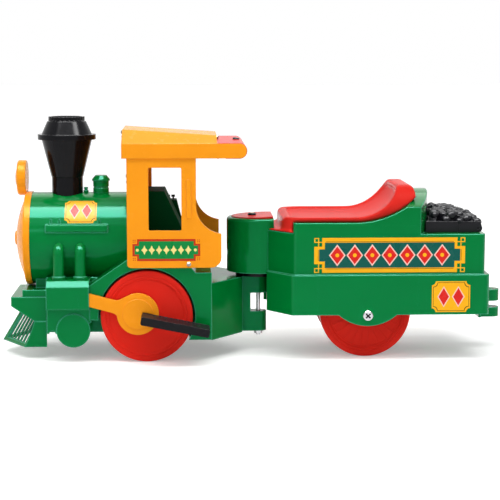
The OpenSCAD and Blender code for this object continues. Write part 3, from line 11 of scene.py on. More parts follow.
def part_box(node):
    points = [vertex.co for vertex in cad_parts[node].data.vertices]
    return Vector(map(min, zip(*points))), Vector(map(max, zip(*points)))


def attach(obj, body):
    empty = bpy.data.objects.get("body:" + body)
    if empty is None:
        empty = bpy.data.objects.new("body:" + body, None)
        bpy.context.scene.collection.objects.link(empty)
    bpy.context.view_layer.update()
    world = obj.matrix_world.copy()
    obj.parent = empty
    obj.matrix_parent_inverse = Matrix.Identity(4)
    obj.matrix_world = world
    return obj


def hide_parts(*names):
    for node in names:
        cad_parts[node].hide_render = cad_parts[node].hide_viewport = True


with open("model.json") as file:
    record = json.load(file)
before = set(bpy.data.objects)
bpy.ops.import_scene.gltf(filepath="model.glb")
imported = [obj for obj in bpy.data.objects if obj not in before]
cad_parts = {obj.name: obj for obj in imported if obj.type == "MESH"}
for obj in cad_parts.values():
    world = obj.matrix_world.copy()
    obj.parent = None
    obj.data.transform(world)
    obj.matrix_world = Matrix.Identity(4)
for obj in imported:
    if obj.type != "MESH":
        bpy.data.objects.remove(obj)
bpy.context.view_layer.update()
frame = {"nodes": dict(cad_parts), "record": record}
nodes = frame["nodes"]
MM = 0.001


# Colour helpers

def linear(hex_text):
    """Linear RGBA of an sRGB hex colour."""
    out = []
    for i in (0, 2, 4):
        c = int(hex_text[i:i + 2], 16) / 255
        out.append(c / 12.92 if c <= 0.04045 else ((c + 0.055) / 1.055) ** 2.4)
    return (*out, 1.0)


def scaled(colour, k):
    return (*[min(1.0, c * k) for c in colour[:3]], 1.0)


GREEN = linear("00742f")
YELLOW = linear("f4981c")
RED = linear("d3201a")
BLACK = linear("0c0c10")
# Painted highlight colour for the green's edges
PAINTED_HIGHLIGHT_MINT = linear("66d8b8")


# Materials

def start_material(name):
    mat = bpy.data.materials.new(name)
    mat.use_nodes = True
    tree = mat.node_tree
    return mat, tree, tree.nodes["Principled BSDF"]


def add(tree, kind, **values):
    node = tree.nodes.new(kind)
    for key, value in values.items():
        if hasattr(node, key):
            setattr(node, key, value)
        else:
            node.inputs[key.replace("_", " ")].default_value = value
    return node


def noise_node(tree, scale, detail=3.0, rough=0.5):
    coord = add(tree, "ShaderNodeTexCoord")
    tex = add(tree, "ShaderNodeTexNoise", Scale=scale, Detail=detail, Roughness=rough)
    tree.links.new(coord.outputs["Object"], tex.inputs["Vector"])
    return tex


def ramp(tree, source, low, high, to_low, to_high):
    rng = add(tree, "ShaderNodeMapRange")
    for socket, value in (("From Min", low), ("From Max", high), ("To Min", to_low), ("To Max", to_high)):
        rng.inputs[socket].default_value = value
    tree.links.new(source, rng.inputs["Value"])
    return rng.outputs["Result"]


def mix(tree, factor, a, b):
    """Colour mix whose inputs may be colours or sockets."""
    node = tree.nodes.new("ShaderNodeMix")
    node.data_type = "RGBA"
    for value, socket in ((factor, node.inputs["Factor"]), (a, node.inputs["A"]), (b, node.inputs["B"])):
        if isinstance(value, bpy.types.NodeSocket):
            tree.links.new(value, socket)
        else:
            socket.default_value = value
    return node.outputs["Result"]


def edge_mask(tree, radius):
    """Rounded-edge normal and a mask that is 1 along the edges."""
    bevel = add(tree, "ShaderNodeBevel", samples=6, Radius=radius)
    geo = add(tree, "ShaderNodeNewGeometry")
    dot = add(tree, "ShaderNodeVectorMath", operation="DOT_PRODUCT")
    tree.links.new(bevel.outputs["Normal"], dot.inputs[0])
    tree.links.new(geo.outputs["Normal"], dot.inputs[1])
    return bevel.outputs["Normal"], ramp(tree, dot.outputs["Value"], 1.0, 0.75, 0.0, 1.0)


def moulded(name, colour, rough=0.22, gloss=0.2, edge=0.003, peel=0.012, grain=520.0, edge_wear_and_sheen=0.10,
            painted_sheen_colour=None, tint=(1.0, 1.0, 1.0), dull=0.0, dull_from=0.70):
    """Moulded plastic: soft tone drift, orange peel, edges lightened partly as rubbed wear and partly as a
    painted highlight, fine scuffs and tops dulled by use.
    """
    mat, tree, bsdf = start_material(name)
    tone = noise_node(tree, 7.0, 4.0)
    drift = ramp(tree, tone.outputs["Fac"], 0.3, 0.7, 0.0, 1.0)
    base = mix(tree, drift, scaled(colour, 0.95), scaled(colour, 1.04))
    normal, mask = edge_mask(tree, edge)
    worn_and_sheen = add(tree, "ShaderNodeMath", operation="MULTIPLY")
    worn_and_sheen.inputs[1].default_value = edge_wear_and_sheen
    tree.links.new(mask, worn_and_sheen.inputs[0])
    # Edge colour: partly rubbed wear, partly a painted highlight; a given edge colour is a painted highlight
    # only.
    pale = painted_sheen_colour or tuple(0.55 * c + 0.45 * max(c, 0.35) for c in colour[:3]) + (1.0,)
    tree.links.new(mix(tree, worn_and_sheen.outputs[0], base, pale), bsdf.inputs["Base Color"])
    scuff = noise_node(tree, 60.0, 6.0, 0.65)
    scuffed = ramp(tree, scuff.outputs["Fac"], 0.35, 0.75, rough - 0.02, rough + 0.05)
    tree.links.new(scuffed, bsdf.inputs["Roughness"])
    peel_tex = noise_node(tree, grain, 2.0)
    bump = add(tree, "ShaderNodeBump", Strength=peel, Distance=0.001)
    tree.links.new(peel_tex.outputs["Fac"], bump.inputs["Height"])
    tree.links.new(normal, bump.inputs["Normal"])
    tree.links.new(bump.outputs["Normal"], bsdf.inputs["Normal"])
    geo = add(tree, "ShaderNodeNewGeometry")
    up = add(tree, "ShaderNodeSeparateXYZ")
    tree.links.new(geo.outputs["Normal"], up.inputs[0])
    level = ramp(tree, up.outputs["Z"], dull_from, dull_from + 0.25, gloss, gloss * (1.0 - dull))
    tree.links.new(level, bsdf.inputs["Specular IOR Level"])
    bsdf.inputs["Specular Tint"].default_value = (*tint, 1.0)
    bsdf.inputs["IOR"].default_value = 1.5
    return mat


def metal(name, colour, rough, streak=0.0):
    """Turned or plated steel with fine streaks around its axis."""
    mat, tree, bsdf = start_material(name)
    coord = add(tree, "ShaderNodeTexCoord")
    stretch = add(tree, "ShaderNodeMapping")
    stretch.inputs["Scale"].default_value = (40.0, 900.0, 40.0)
    tree.links.new(coord.outputs["Object"], stretch.inputs["Vector"])
    lines = add(tree, "ShaderNodeTexNoise", Scale=3.0, Detail=4.0)
    tree.links.new(stretch.outputs["Vector"], lines.inputs["Vector"])
    brushed = ramp(tree, lines.outputs["Fac"], 0.3, 0.7, rough * 0.8, rough * 1.3)
    tree.links.new(brushed, bsdf.inputs["Roughness"])
    tree.links.new(mix(tree, lines.outputs["Fac"], scaled(colour, 0.88), colour), bsdf.inputs["Base Color"])
    bump = add(tree, "ShaderNodeBump", Strength=streak, Distance=0.0005)
    tree.links.new(lines.outputs["Fac"], bump.inputs["Height"])
    tree.links.new(bump.outputs["Normal"], bsdf.inputs["Normal"])
    bsdf.inputs["Metallic"].default_value = 1.0
    return mat


def vinyl(name, colour, rough=0.28):
    """Printed sticker: faint print grain over a smooth film."""
    mat, tree, bsdf = start_material(name)
    grain = noise_node(tree, 900.0, 2.0)
    tone = noise_node(tree, 25.0, 3.0)
    fine = mix(tree, grain.outputs["Fac"], scaled(colour, 0.95), scaled(colour, 1.05))
    drift = ramp(tree, tone.outputs["Fac"], 0.3, 0.7, 0.0, 0.5)
    tree.links.new(mix(tree, drift, fine, scaled(colour, 0.93)), bsdf.inputs["Base Color"])
    handled = ramp(tree, tone.outputs["Fac"], 0.3, 0.7, rough - 0.04, rough + 0.06)
    tree.links.new(handled, bsdf.inputs["Roughness"])
    bump = add(tree, "ShaderNodeBump", Strength=0.02, Distance=0.0003)
    tree.links.new(tone.outputs["Fac"], bump.inputs["Height"])
    tree.links.new(bump.outputs["Normal"], bsdf.inputs["Normal"])
    bsdf.inputs["Specular IOR Level"].default_value = 0.15
    return mat


WARM_GLINT = (1.0, 0.40, 0.35)
# The green's mint edges are a painted highlight.
green = moulded("green_plastic", GREEN, rough=0.11, gloss=0.25, edge=0.005, edge_wear_and_sheen=0.5, painted_sheen_colour=PAINTED_HIGHLIGHT_MINT,
                tint=(0.2, 0.95, 0.8), dull=0.85, dull_from=0.82)
# Painted shade: a darker, matt copy of the green for the console that sits in shade inside the cab.
shaded_green = moulded("dull_green_plastic", linear("00401f"), rough=0.6, gloss=0.03)
yellow = moulded("yellow_plastic", YELLOW, rough=0.25, gloss=0.15, edge=0.0022, tint=(1.0, 0.75, 0.35),
                 dull=0.5)
red = moulded("red_plastic", RED, rough=0.22, gloss=0.12, edge=0.004, tint=WARM_GLINT, dull=0.75)
seat_red = moulded("seat_plastic", linear("cf2a23"), rough=0.2, gloss=0.06, edge=0.004, tint=WARM_GLINT,
                   dull=0.9, dull_from=0.2)
wheel_red = moulded("wheel_plastic", linear("dc281d"), rough=0.36, gloss=0.10, edge=0.0015, edge_wear_and_sheen=0.06,
                    tint=WARM_GLINT)
black = moulded("black_plastic", BLACK, rough=0.14, gloss=0.12, edge=0.002, edge_wear_and_sheen=0.05)
rubber = moulded("footrest_plastic", linear("101013"), rough=0.45, gloss=0.12, edge=0.0015, grain=900.0,
                 peel=0.05)
coal = moulded("coal_plastic", linear("0e0e14"), rough=0.30, gloss=0.20, edge=0.0015, grain=260.0,
               peel=0.06)
nylon = moulded("nylon_plastic", linear("ddd6bd"), rough=0.5, gloss=0.2, edge=0.0006)
steel = metal("steel_bar", (0.62, 0.63, 0.65, 1.0), 0.28, 0.02)
chrome = metal("chrome_cap", (0.52, 0.53, 0.55, 1.0), 0.09)
screw_steel = metal("screw_steel", (0.34, 0.32, 0.29, 1.0), 0.3)

ON_SLOT = {"green_gloss": green, "yellow_gloss": yellow, "red_gloss": red, "black_plastic": black,
           "steel": steel, "chrome": chrome, "nylon": nylon}
for part in frame["record"]["subparts"]:
    name = part["node"]
    mat = ON_SLOT[part["material_slot"]]
    if "wheel" in name:
        mat = wheel_red
    if name.startswith("footrest"):
        mat = rubber
    if name == "coal_lid":
        mat = coal
    # The console gets the painted-shade green.
    if name == "backhead_console":
        mat = shaded_green
    if name == "lid_hinge_pin":
        mat = black
    if name == "cab_screws":
        mat = screw_steel
    data = nodes[name].data
    data.materials.clear()
    data.materials.append(mat)


# Mesh pieces

def piece(name, bm, mat, body, smooth=None):
    """Object made of a bmesh; it rides on a body and is smooth up to an angle in degrees."""
    bmesh.ops.recalc_face_normals(bm, faces=bm.faces)
    mesh = bpy.data.meshes.new(name)
    bm.to_mesh(mesh)
    bm.free()
    mesh.materials.append(mat)
    obj = bpy.data.objects.new(name, mesh)
    bpy.context.scene.collection.objects.link(obj)
    if smooth is not None:
        for poly in mesh.polygons:
            poly.use_smooth = True
        mesh.set_sharp_from_angle(angle=math.radians(smooth))
    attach(obj, body)
    return obj


def prism(bm, outline, place, low, high):
    """Thin closed solid over an outline; place(u, v, h) gives its point."""
    bottom = [bm.verts.new(place(u, v, low)) for u, v in outline]
    top = [bm.verts.new(place(u, v, high)) for u, v in outline]
    n = len(outline)
    bm.faces.new(top)
    bm.faces.new(bottom[::-1])
    for i in range(n):
        j = (i + 1) % n
        bm.faces.new((bottom[i], bottom[j], top[j], top[i]))


def rect(u0, u1, v0, v1):
    return [(u0, v0), (u1, v0), (u1, v1), (u0, v1)]


def ticket(u0, u1, v0, v1, c, steps=5):
    """Rectangle with a hollow quarter round of radius c in each corner."""
    out = []
    for u, v, start in ((u0, v0, 90), (u1, v0, 180), (u1, v1, 270), (u0, v1, 360)):
        for i in range(steps + 1):
            a = math.radians(start - 90 * i / steps)
            out.append((u + c * math.cos(a), v + c * math.sin(a)))
    return out


def stepped(u0, u1, v0, v1, c, d):
    """Rectangle with a square step, c wide and d high, in each corner."""
    return [(u0 + c, v0), (u1 - c, v0), (u1 - c, v0 + d), (u1, v0 + d), (u1, v1 - d), (u1 - c, v1 - d),
            (u1 - c, v1), (u0 + c, v1), (u0 + c, v1 - d), (u0, v1 - d), (u0, v0 + d), (u0 + c, v0 + d)]


def lozenge(u, v, a, b, waist=1.0):
    if waist == 1.0:
        return [(u - a, v), (u, v - b), (u + a, v), (u, v + b)]
    k = 0.5 * waist
    return [(u - a, v), (u - a * k, v - b * k), (u, v - b), (u + a * k, v - b * k), (u + a, v),
            (u + a * k, v + b * k), (u, v + b), (u - a * k, v + b * k)]


def disc(u, v, r, n=20):
    return [(u + r * math.cos(2 * math.pi * i / n), v + r * math.sin(2 * math.pi * i / n)) for i in range(n)]


# Thickness of a printed film and how far the lowest one reaches into its wall, in mm
FILM = 0.15
BEDDED = 0.05

# Distance of the flat side walls from the middle plane, in mm
TENDER_WALL = 150.0
TENDER_SKIRT = 158.0
CAB_WALL = 156.0


def row(middle, count, pitch):
    """Places of a row that is centred on its middle."""
    return [middle + (i - (count - 1) / 2) * pitch for i in range(count)]


def flat_on_side(side, wall):
    """Place on a flat side wall: u along X, v up, h out of the wall."""
    return lambda u, v, h: Vector((u, side * (wall + h), v)) * MM


def decal(name, shapes, place, mat, body, layer):
    """Printed film over some outlines; layer 1 lies on the wall."""
    bm = bmesh.new()
    for outline in shapes:
        prism(bm, outline, place, FILM * (layer - 1) if layer > 1 else -BEDDED, FILM * layer)
    return piece(name, bm, mat, body)


sign_teal = vinyl("sign_teal", linear("00564c"))
sign_gold = vinyl("sign_gold", linear("ffb414"))
sign_red = vinyl("sign_red", linear("dc241c"))
sign_pale = vinyl("sign_pale", linear("f6c9bc"))
sign_green = vinyl("sign_green", linear("00853c"))
sign_cream = vinyl("sign_cream", linear("f0e08a"))
sign_line = vinyl("sign_line", linear("6a5210"))
sign_brick = vinyl("sign_brick", linear("c0300f"))


def tender_sign(side, tag):
    """Long name board: gold stepped border, teal field and a row of red lozenges."""
    place = flat_on_side(side, TENDER_WALL)
    u0, u1, v0, v1 = 135.0, 480.0, 203.0, 283.0
    bar, step, inset = 11.0, 20.0, 5
    field = stepped(u0 + inset, u1 - inset, v0 + inset, v1 - inset, step, step - 4)
    decal("tender_board_field_" + tag, [field], place, sign_teal, "tender", 1)
    gold = [rect(u0 + step - 2, u1 - step + 2, v1 - bar, v1)]
    gold += [rect(u0 + step - 2, u1 - step + 2, v0, v0 + bar)]
    gold += [rect(u0, u0 + bar, v0 + step, v1 - step), rect(u1 - bar, u1, v0 + step, v1 - step)]
    line = 3.2 * 0.7
    for right in (0, 1):
        for top in (0, 1):
            def at(a0, a1, b0, b1):
                ua, ub = (u1 - a1, u1 - a0) if right else (u0 + a0, u0 + a1)
                va, vb = (v1 - b1, v1 - b0) if top else (v0 + b0, v0 + b1)
                return rect(ua, ub, va, vb)
            gold += [at(bar, step + 4, step, step + 6), at(step - 2, step + 4, bar, step)]
            gold += [at(0, bar, 0, line), at(0, bar, bar - line, bar)]
            gold += [at(0, line, line, bar - line), at(bar - line, bar, line, bar - line)]
            gold += [at(bar, step - 2, bar - line, bar), at(bar - line, bar, bar, step)]
    decal("tender_board_border_" + tag, gold, place, sign_gold, "tender", 2)
    near, far = bar - 1.5, bar - 2.6
    end_u, end_v = step + 6, step + 7
    lines = [rect(u0 + end_u, u1 - end_u, v1 - near, v1 - far)]
    lines += [rect(u0 + end_u, u1 - end_u, v0 + far, v0 + near)]
    lines += [rect(u0 + far, u0 + near, v0 + end_v, v1 - end_v)]
    lines += [rect(u1 - near, u1 - far, v0 + end_v, v1 - end_v)]
    decal("tender_board_lines_" + tag, lines, place, sign_line, "tender", 3)
    mid_v = (v0 + v1) / 2
    spots = row((u0 + u1) / 2, 7, 40.0)
    pale = [lozenge(u, mid_v, 19.0, 25.0) for u in spots]
    inner = [lozenge(u, mid_v, 15.6, 20.6) for u in spots]
    decal("tender_board_outline_" + tag, pale, place, sign_pale, "tender", 2)
    decal("tender_board_lozenge_" + tag, inner, place, sign_red, "tender", 3)
    heart = [disc(u, mid_v, 4.4) for u in spots]
    decal("tender_board_heart_" + tag, heart, place, sign_gold, "tender", 4)


def plate_shapes(u0, u1, v0, v1):
    """Layers of a small gold plate with two red lozenges."""
    mid_u, mid_v = (u0 + u1) / 2, (v0 + v1) / 2
    w, h = u1 - u0, v1 - v0
    spots = (mid_u - 0.19 * w, mid_u + 0.19 * w)
    return [
        ("rim", sign_gold, [ticket(u0, u1, v0, v1, 0.10 * w)], 1),
        ("line", sign_line, [ticket(u0 + 2.6, u1 - 2.6, v0 + 2.6, v1 - 2.6, 0.11 * w)], 2),
        ("face", sign_gold, [ticket(u0 + 3.8, u1 - 3.8, v0 + 3.8, v1 - 3.8, 0.115 * w)], 3),
        ("pale", sign_pale, [lozenge(u, mid_v, 0.165 * w, 0.34 * h) for u in spots], 4),
        ("red", sign_red, [lozenge(u, mid_v, 0.135 * w, 0.285 * h) for u in spots], 5),
    ]


def tender_plate(side, tag):
    place = flat_on_side(side, TENDER_SKIRT)
    for part_name, mat, shapes, layer in plate_shapes(404.0, 492.0, 112.0, 183.0):
        decal("tender_plate_%s_%s" % (part_name, tag), shapes, place, mat, "tender", layer)


def cab_sign(side, tag):
    """Cab board: brick stepped border, green field and a row of cream lozenges and dots."""
    place = flat_on_side(side, CAB_WALL)
    u0, u1, v0, v1 = -277.0, -124.0, 233.0, 283.0
    c, d, w = 10.5, 11.0, 5.0
    border = stepped(u0, u1, v0, v1, c, d)
    decal("cab_board_border_" + tag, [border], place, sign_brick, "loco", 1)
    field = stepped(u0 + w, u1 - w, v0 + w, v1 - w, c - 1, d - 1)
    decal("cab_board_field_" + tag, [field], place, sign_green, "loco", 2)
    mid_v = (v0 + v1) / 2
    cream = [lozenge(u, mid_v, 7.2, 10.5, 0.8) for u in row((u0 + u1) / 2, 7, 16.5)]
    cream += [disc(u0 + c + 0.5, mid_v, 3.4), disc(u1 - c - 0.5, mid_v, 3.4)]
    decal("cab_board_row_" + tag, cream, place, sign_cream, "loco", 3)
    corners = []
    for cu in (u0 + 4.0, u1 - 4.0):
        for cv in (v0 + 4.4, v1 - 4.4):
            for left in (cu - 3.2, cu + 0.9):
                corners.append(rect(left, left + 2.3, cv - 3.0, cv - 1.0))
                corners.append(rect(left, left + 2.3, cv + 1.0, cv + 3.0))
    decal("cab_board_corners_" + tag, corners, place, sign_brick, "loco", 1)


def boiler_plate(side, tag):
    """The gold plate bent around the boiler."""
    centre_z, r, lift = 269.0, 107.0, 0.05
    u0, u1 = -434.0, -361.0
    v0, v1 = math.radians(24.5) * r, math.radians(58.5) * r

    def place(u, v, h):
        a = v / r
        out = r + h + lift
        return Vector((u, side * out * math.cos(a), centre_z + out * math.sin(a))) * MM

    for part_name, mat, shapes, layer in plate_shapes(u0, u1, v0, v1):
        bm = bmesh.new()
        for outline in shapes:
            flat = bmesh.new()
            prism(flat, outline, lambda u, v, h: Vector((u, v, h)), FILM * (layer - 1), FILM * layer)
            low = min(v for _, v in outline)
            high = max(v for _, v in outline)
            cuts = 14
            for i in range(1, cuts):
                at = low + (high - low) * i / cuts
                bmesh.ops.bisect_plane(flat, geom=flat.verts[:] + flat.edges[:] + flat.faces[:],
                                       plane_co=(0, at, 0), plane_no=(0, 1, 0), dist=1e-5)
            for vert in flat.verts:
                vert.co = place(*vert.co)
            temp = bpy.data.meshes.new("temp")
            flat.to_mesh(temp)
            flat.free()
            bm.from_mesh(temp)
            bpy.data.meshes.remove(temp)
        piece("boiler_plate_%s_%s" % (part_name, tag), bm, mat, "loco", smooth=30)


def soft_copy(node, name, voxel, rounds, mat, body):
    """Copy of a CAD node with its edges rounded by remeshing and smoothing; it stands for the node."""
    raw = bpy.data.objects.new(name + "_raw", nodes[node].data.copy())
    bpy.context.scene.collection.objects.link(raw)
    remesh = raw.modifiers.new("remesh", "REMESH")
    remesh.mode = "VOXEL"
    remesh.voxel_size = voxel
    relax = raw.modifiers.new("relax", "SMOOTH")
    relax.factor = 0.5
    relax.iterations = rounds
    mesh = bpy.data.meshes.new_from_object(raw.evaluated_get(bpy.context.evaluated_depsgraph_get()))
    bpy.data.objects.remove(raw)
    bm = bmesh.new()
    bm.from_mesh(mesh)
    bpy.data.meshes.remove(mesh)
    obj = piece(name, bm, mat, body, smooth=70)
    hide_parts(node)
    return obj


def lump(bm, centre, radius, rng):
    """One rounded lump: a squashed ball with low bumps."""
    made = bmesh.ops.create_icosphere(bm, subdivisions=2, radius=1.0)["verts"]
    seed = Vector((rng.uniform(0, 50), rng.uniform(0, 50), rng.uniform(0, 50)))
    turn = Matrix.Rotation(rng.uniform(0, math.pi), 3, "Z")
    stretch = Vector((rng.uniform(0.9, 1.15), rng.uniform(0.8, 1.05), rng.uniform(0.75, 0.95)))
    for vert in made:
        out = vert.co.normalized()
        square = 1.0 / max(abs(out.x), abs(out.y), abs(out.z))
        reach = radius * (0.72 + 0.28 * square) * (1.0 + 0.16 * noise.noise(out * 1.7 + seed))
        local = Vector((out.x * stretch.x, out.y * stretch.y, out.z * stretch.z)) * reach
        vert.co = centre + turn @ local


def coal_lumps():
    """Rows of small lumps bedded on the heap of the coal lid."""
    data = nodes["coal_lid"].data
    heap = BVHTree.FromPolygons([v.co[:] for v in data.vertices], [tuple(p.vertices) for p in data.polygons])
    low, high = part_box("coal_lid")
    rim_z = low.z + 0.0255
    pitch, radius = 0.0180, 0.0112
    reach = 0.6 * radius
    rng = random.Random(5)
    bm = bmesh.new()
    across = int((high.y - low.y) / pitch)
    along = int((high.x - low.x) / pitch)
    down = Vector((0, 0, -1))
    for i in range(along):
        for j in range(across):
            x = low.x + (i + 0.5 + 0.2 * rng.uniform(-1, 1)) * pitch
            y = low.y + (j + 0.5 + 0.2 * rng.uniform(-1, 1) + 0.5 * (i % 2)) * pitch
            tops = []
            for dx, dy in ((0, 0), (-reach, 0), (reach, 0), (0, reach), (0, -reach)):
                hit = heap.ray_cast(Vector((x + dx, y + dy, high.z + 0.1)), down)[0]
                tops.append(hit.z if hit else None)
            if None in tops or tops[0] < rim_z:
                continue
            z = sum(tops) / len(tops)
            lump(bm, Vector((x, y, max(z, rim_z) - 0.003)), radius * rng.uniform(0.88, 1.1), rng)
    piece("coal_lumps", bm, coal, "coal_lid", smooth=60)


def revolve(bm, profile, steps, place):
    """Surface of revolution of (radius, height) points; place(u, v, h) gives its points."""
    rings = []
    for radius, height in profile:
        if radius == 0:
            rings.append([bm.verts.new(place(0.0, 0.0, height))])
            continue
        turn = [2 * math.pi * i / steps for i in range(steps)]
        rings.append([bm.verts.new(place(radius * math.cos(a), radius * math.sin(a), height)) for a in turn])
    for inner, outer in zip(rings, rings[1:]):
        for i in range(steps):
            j = (i + 1) % steps
            corners = [inner[i % len(inner)], inner[j % len(inner)]]
            corners += [outer[j % len(outer)], outer[i % len(outer)]]
            bm.faces.new([v for k, v in enumerate(corners) if v not in corners[:k]])


def facing(at, axis):
    """Place on a disc centred at a point in mm, looking along an axis."""
    out = Vector(axis).normalized()
    side = out.orthogonal().normalized()
    other = out.cross(side)
    base = Vector(at)
    return lambda u, v, h: (base + side * u + other * v + out * h) * MM


def cross(half_width, reach):
    """Three rectangles that make a cross."""
    return [rect(-half_width, half_width, -reach, reach), rect(-reach, -half_width, -half_width, half_width),
            rect(half_width, reach, -half_width, half_width)]


def screw(name, at, axis, r, tall, body):
    """Domed screw head with a black cross on it, a painted shade standing for its shaded cross recess."""
    place = facing(at, axis)
    bm = bmesh.new()
    profile = [(0, -1.0), (r, -1.0), (r, 0.4 * tall), (0.9 * r, 0.65 * tall), (0.6 * r, 0.88 * tall),
               (0.3 * r, 0.97 * tall), (0, tall)]
    revolve(bm, profile, 24, place)
    piece(name, bm, screw_steel, body, smooth=40)
    # Painted shade: a black cross in place of the dark cross recess.
    bm = bmesh.new()
    for outline in cross(0.14 * r, 0.55 * r):
        prism(bm, outline, place, 0.7 * tall, 1.02 * tall)
    piece(name + "_cross", bm, black, body)


def button_painted_glint():
    """Pale domed boss in the middle of the column button, a painted highlight standing for the glint on the
    black dome.
    """
    low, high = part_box("column_button")
    bm = bmesh.new()
    place = facing((500 * (low.x + high.x), 500 * (low.y + high.y), 1000 * high.z), (0, 0, 1))
    revolve(bm, [(0, -0.5), (5.5, -0.5), (5.2, 0.8), (3.6, 1.6), (1.8, 1.9), (0, 2.0)], 24, place)
    piece("column_button_boss", bm, nylon, "column_button", smooth=40)


def cap_painted_reflections():
    """Dark cross on the face of each axle cap, a painted reflection standing for dark things mirrored in the
    chrome.
    """
    low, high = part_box("axle_caps")
    r = 500 * (high.x - low.x)
    for side, face, tag in ((-1, low.y, "left"), (1, high.y, "right")):
        place = facing((500 * (low.x + high.x), 1000 * face, 500 * (low.z + high.z)), (0, side, 0))
        bm = bmesh.new()
        for outline in cross(0.15 * r, 0.6 * r):
            prism(bm, outline, place, -1.5, 0.1)
        piece("axle_cap_cross_" + tag, bm, black, "rear_axle")


def wheel_face(node, body, ribs):
    """Raised bead and faint spokes on the outer face of a wheel."""
    low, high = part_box(node)
    cx, cz = 500 * (low.x + high.x), 500 * (low.z + high.z)
    face = 1000 * max(abs(low.y), abs(high.y)) - 2.5
    wheel_r = 500 * (high.x - low.x)
    side = 1 if low.y > 0 else -1

    def place(u, v, h):
        return Vector((cx + u, side * (face + h), cz + v)) * MM

    bm = bmesh.new()
    bead = 0.9 * wheel_r - 12
    section = [(-1.6, -0.8), (-1.2, 0.4), (-0.5, 0.9), (0.5, 0.9), (1.2, 0.4), (1.6, -0.8), (-1.6, -0.8)]
    revolve(bm, [(bead + across, height) for across, height in section], 96, place)
    hub_r, end_r = 0.42 * wheel_r, bead - 2
    for i in range(ribs):
        a = 2 * math.pi * (i + 0.5) / ribs
        cos, sin = math.cos(a), math.sin(a)
        outline = []
        for radius, half in ((hub_r, -1.0), (end_r, -1.9), (end_r, 1.9), (hub_r, 1.0)):
            outline.append((radius * cos - half * sin, radius * sin + half * cos))
        prism(bm, outline, place, -0.8, 0.35)
    piece(node + "_relief", bm, wheel_red, body, smooth=50)


def screws():
    """Screw heads on the roof's front and rear and on the cab's front wall."""
    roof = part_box("cab_roof")[0].x * 1000
    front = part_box("cab_front_wall")[0].x * 1000
    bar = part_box("handlebar")[0].x * 1000
    screw("roof_front_screw", (roof, 0.0, 516.0), (-1, 0, 0), 6.0, 7.0, "loco")
    screw("roof_rear_screw", (bar, 0.0, 504.0), (1, 0, 0), 5.0, 6.0, "loco")
    screw("wall_front_screw", (front, 0.0, 399.0), (-1, 0, 0), 6.0, 7.0, "loco")


screws()
button_painted_glint()
cap_painted_reflections()
wheel_face("rear_wheel_left", "rear_axle", 24)
wheel_face("rear_wheel_right", "rear_axle", 24)
soft_copy("seat", "seat_moulding", 0.003, 10, seat_red, "tender")
coal_lumps()
for side, tag in ((-1, "left"), (1, "right")):
    tender_sign(side, tag)
    tender_plate(side, tag)
    cab_sign(side, tag)
    boiler_plate(side, tag)


# Stage, light and camera

def shown_rays(tree, path):
    """1 for camera, glossy and transmission rays."""
    either = add(tree, "ShaderNodeMath", operation="MAXIMUM")
    shown = add(tree, "ShaderNodeMath", operation="MAXIMUM")
    tree.links.new(path.outputs["Is Camera Ray"], either.inputs[0])
    tree.links.new(path.outputs["Is Glossy Ray"], either.inputs[1])
    tree.links.new(either.outputs[0], shown.inputs[0])
    tree.links.new(path.outputs["Is Transmission Ray"], shown.inputs[1])
    return shown.outputs[0]


def stage_material(name, colour, glow):
    """Pale floor that takes the object's soft shadow and stays bright where it is seen."""
    mat, tree, bsdf = start_material(name)
    fine = noise_node(tree, 3.0, 3.0)
    tree.links.new(mix(tree, fine.outputs["Fac"], scaled(colour, 0.985), colour), bsdf.inputs["Base Color"])
    bsdf.inputs["Roughness"].default_value = 0.7
    bsdf.inputs["Specular IOR Level"].default_value = 0.1
    bsdf.inputs["Emission Color"].default_value = (1, 1, 1, 1)
    path = tree.nodes.new("ShaderNodeLightPath")
    tree.links.new(ramp(tree, shown_rays(tree, path), 0.0, 1.0, 0.0, glow), bsdf.inputs["Emission Strength"])
    return mat


def make_stage():
    bm = bmesh.new()
    bmesh.ops.create_grid(bm, x_segments=1, y_segments=1, size=30.0)
    mesh = bpy.data.meshes.new("floor")
    bm.to_mesh(mesh)
    bm.free()
    floor = bpy.data.objects.new("floor", mesh)
    floor.location.z = -0.0005
    bpy.context.scene.collection.objects.link(floor)
    mesh.materials.append(stage_material("floor_white", (0.92, 0.92, 0.92, 1.0), 0.30))


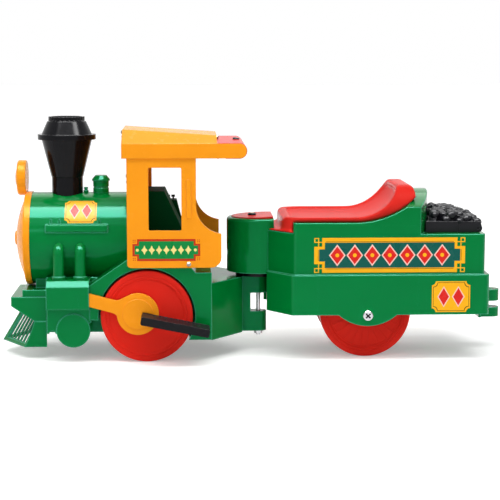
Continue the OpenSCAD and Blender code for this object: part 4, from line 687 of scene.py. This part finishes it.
def make_world(fill):
    """White for the camera and for reflections, a plain soft fill for everything else."""
    world = bpy.data.worlds.new("studio")
    bpy.context.scene.world = world
    world.use_nodes = True
    tree = world.node_tree
    tree.nodes.clear()
    out = tree.nodes.new("ShaderNodeOutputWorld")
    seen = add(tree, "ShaderNodeBackground", Color=(1, 1, 1, 1), Strength=1.0)
    lit = add(tree, "ShaderNodeBackground", Color=(1, 1, 1, 1), Strength=fill)
    path = tree.nodes.new("ShaderNodeLightPath")
    blend = tree.nodes.new("ShaderNodeMixShader")
    tree.links.new(shown_rays(tree, path), blend.inputs[0])
    tree.links.new(lit.outputs[0], blend.inputs[1])
    tree.links.new(seen.outputs[0], blend.inputs[2])
    tree.links.new(blend.outputs[0], out.inputs["Surface"])


def sun_light(name, towards, strength, spread):
    data = bpy.data.lights.new(name, "SUN")
    data.energy = strength
    data.angle = math.radians(spread)
    lamp = bpy.data.objects.new(name, data)
    lamp.rotation_euler = Vector(towards).to_track_quat("-Z", "Y").to_euler()
    bpy.context.scene.collection.objects.link(lamp)


def area_light(name, place, aim, size, power, diffuse=True, glossy=True):
    data = bpy.data.lights.new(name, "AREA")
    data.shape = "RECTANGLE"
    data.size, data.size_y = size
    data.energy = power
    lamp = bpy.data.objects.new(name, data)
    lamp.location = place
    lamp.rotation_euler = (Vector(aim) - Vector(place)).to_track_quat("-Z", "Y").to_euler()
    lamp.visible_camera = False
    lamp.visible_diffuse = diffuse
    lamp.visible_glossy = glossy
    bpy.context.scene.collection.objects.link(lamp)


def make_camera():
    data = bpy.data.cameras.new("camera")
    data.sensor_width = 36.0
    data.lens = 108.63
    cam = bpy.data.objects.new("camera", data)
    cam.location = (-0.14826, -3.5406, 0.69943)
    yaw, pitch = math.radians(2.315), math.radians(7.439)
    look = Vector((math.sin(yaw) * math.cos(pitch), math.cos(yaw) * math.cos(pitch), -math.sin(pitch)))
    cam.rotation_euler = look.to_track_quat("-Z", "Y").to_euler()
    bpy.context.scene.collection.objects.link(cam)
    bpy.context.scene.camera = cam


make_stage()
make_world(0.38)
sun_light("high_soft", (0.12, 0.30, -0.95), 1.3, 70.0)
area_light("overhead", (0.0, -0.75, 2.3), (0.0, 0.0, 0.25), (3.0, 0.5), 32, glossy=False)
area_light("softbox", (0.0, -0.65, 2.33), (0.0, 0.0, 0.33), (3.4, 1.2), 320, diffuse=False)
area_light("behind", (0.0, 2.3, 2.1), (0.0, 0.0, 0.3), (4.0, 1.3), 22)
area_light("front", (-1.3, -2.6, 1.5), (-0.2, 0.0, 0.25), (1.2, 0.4), 6)
make_camera()
bpy.context.scene.view_settings.view_transform = "Standard"
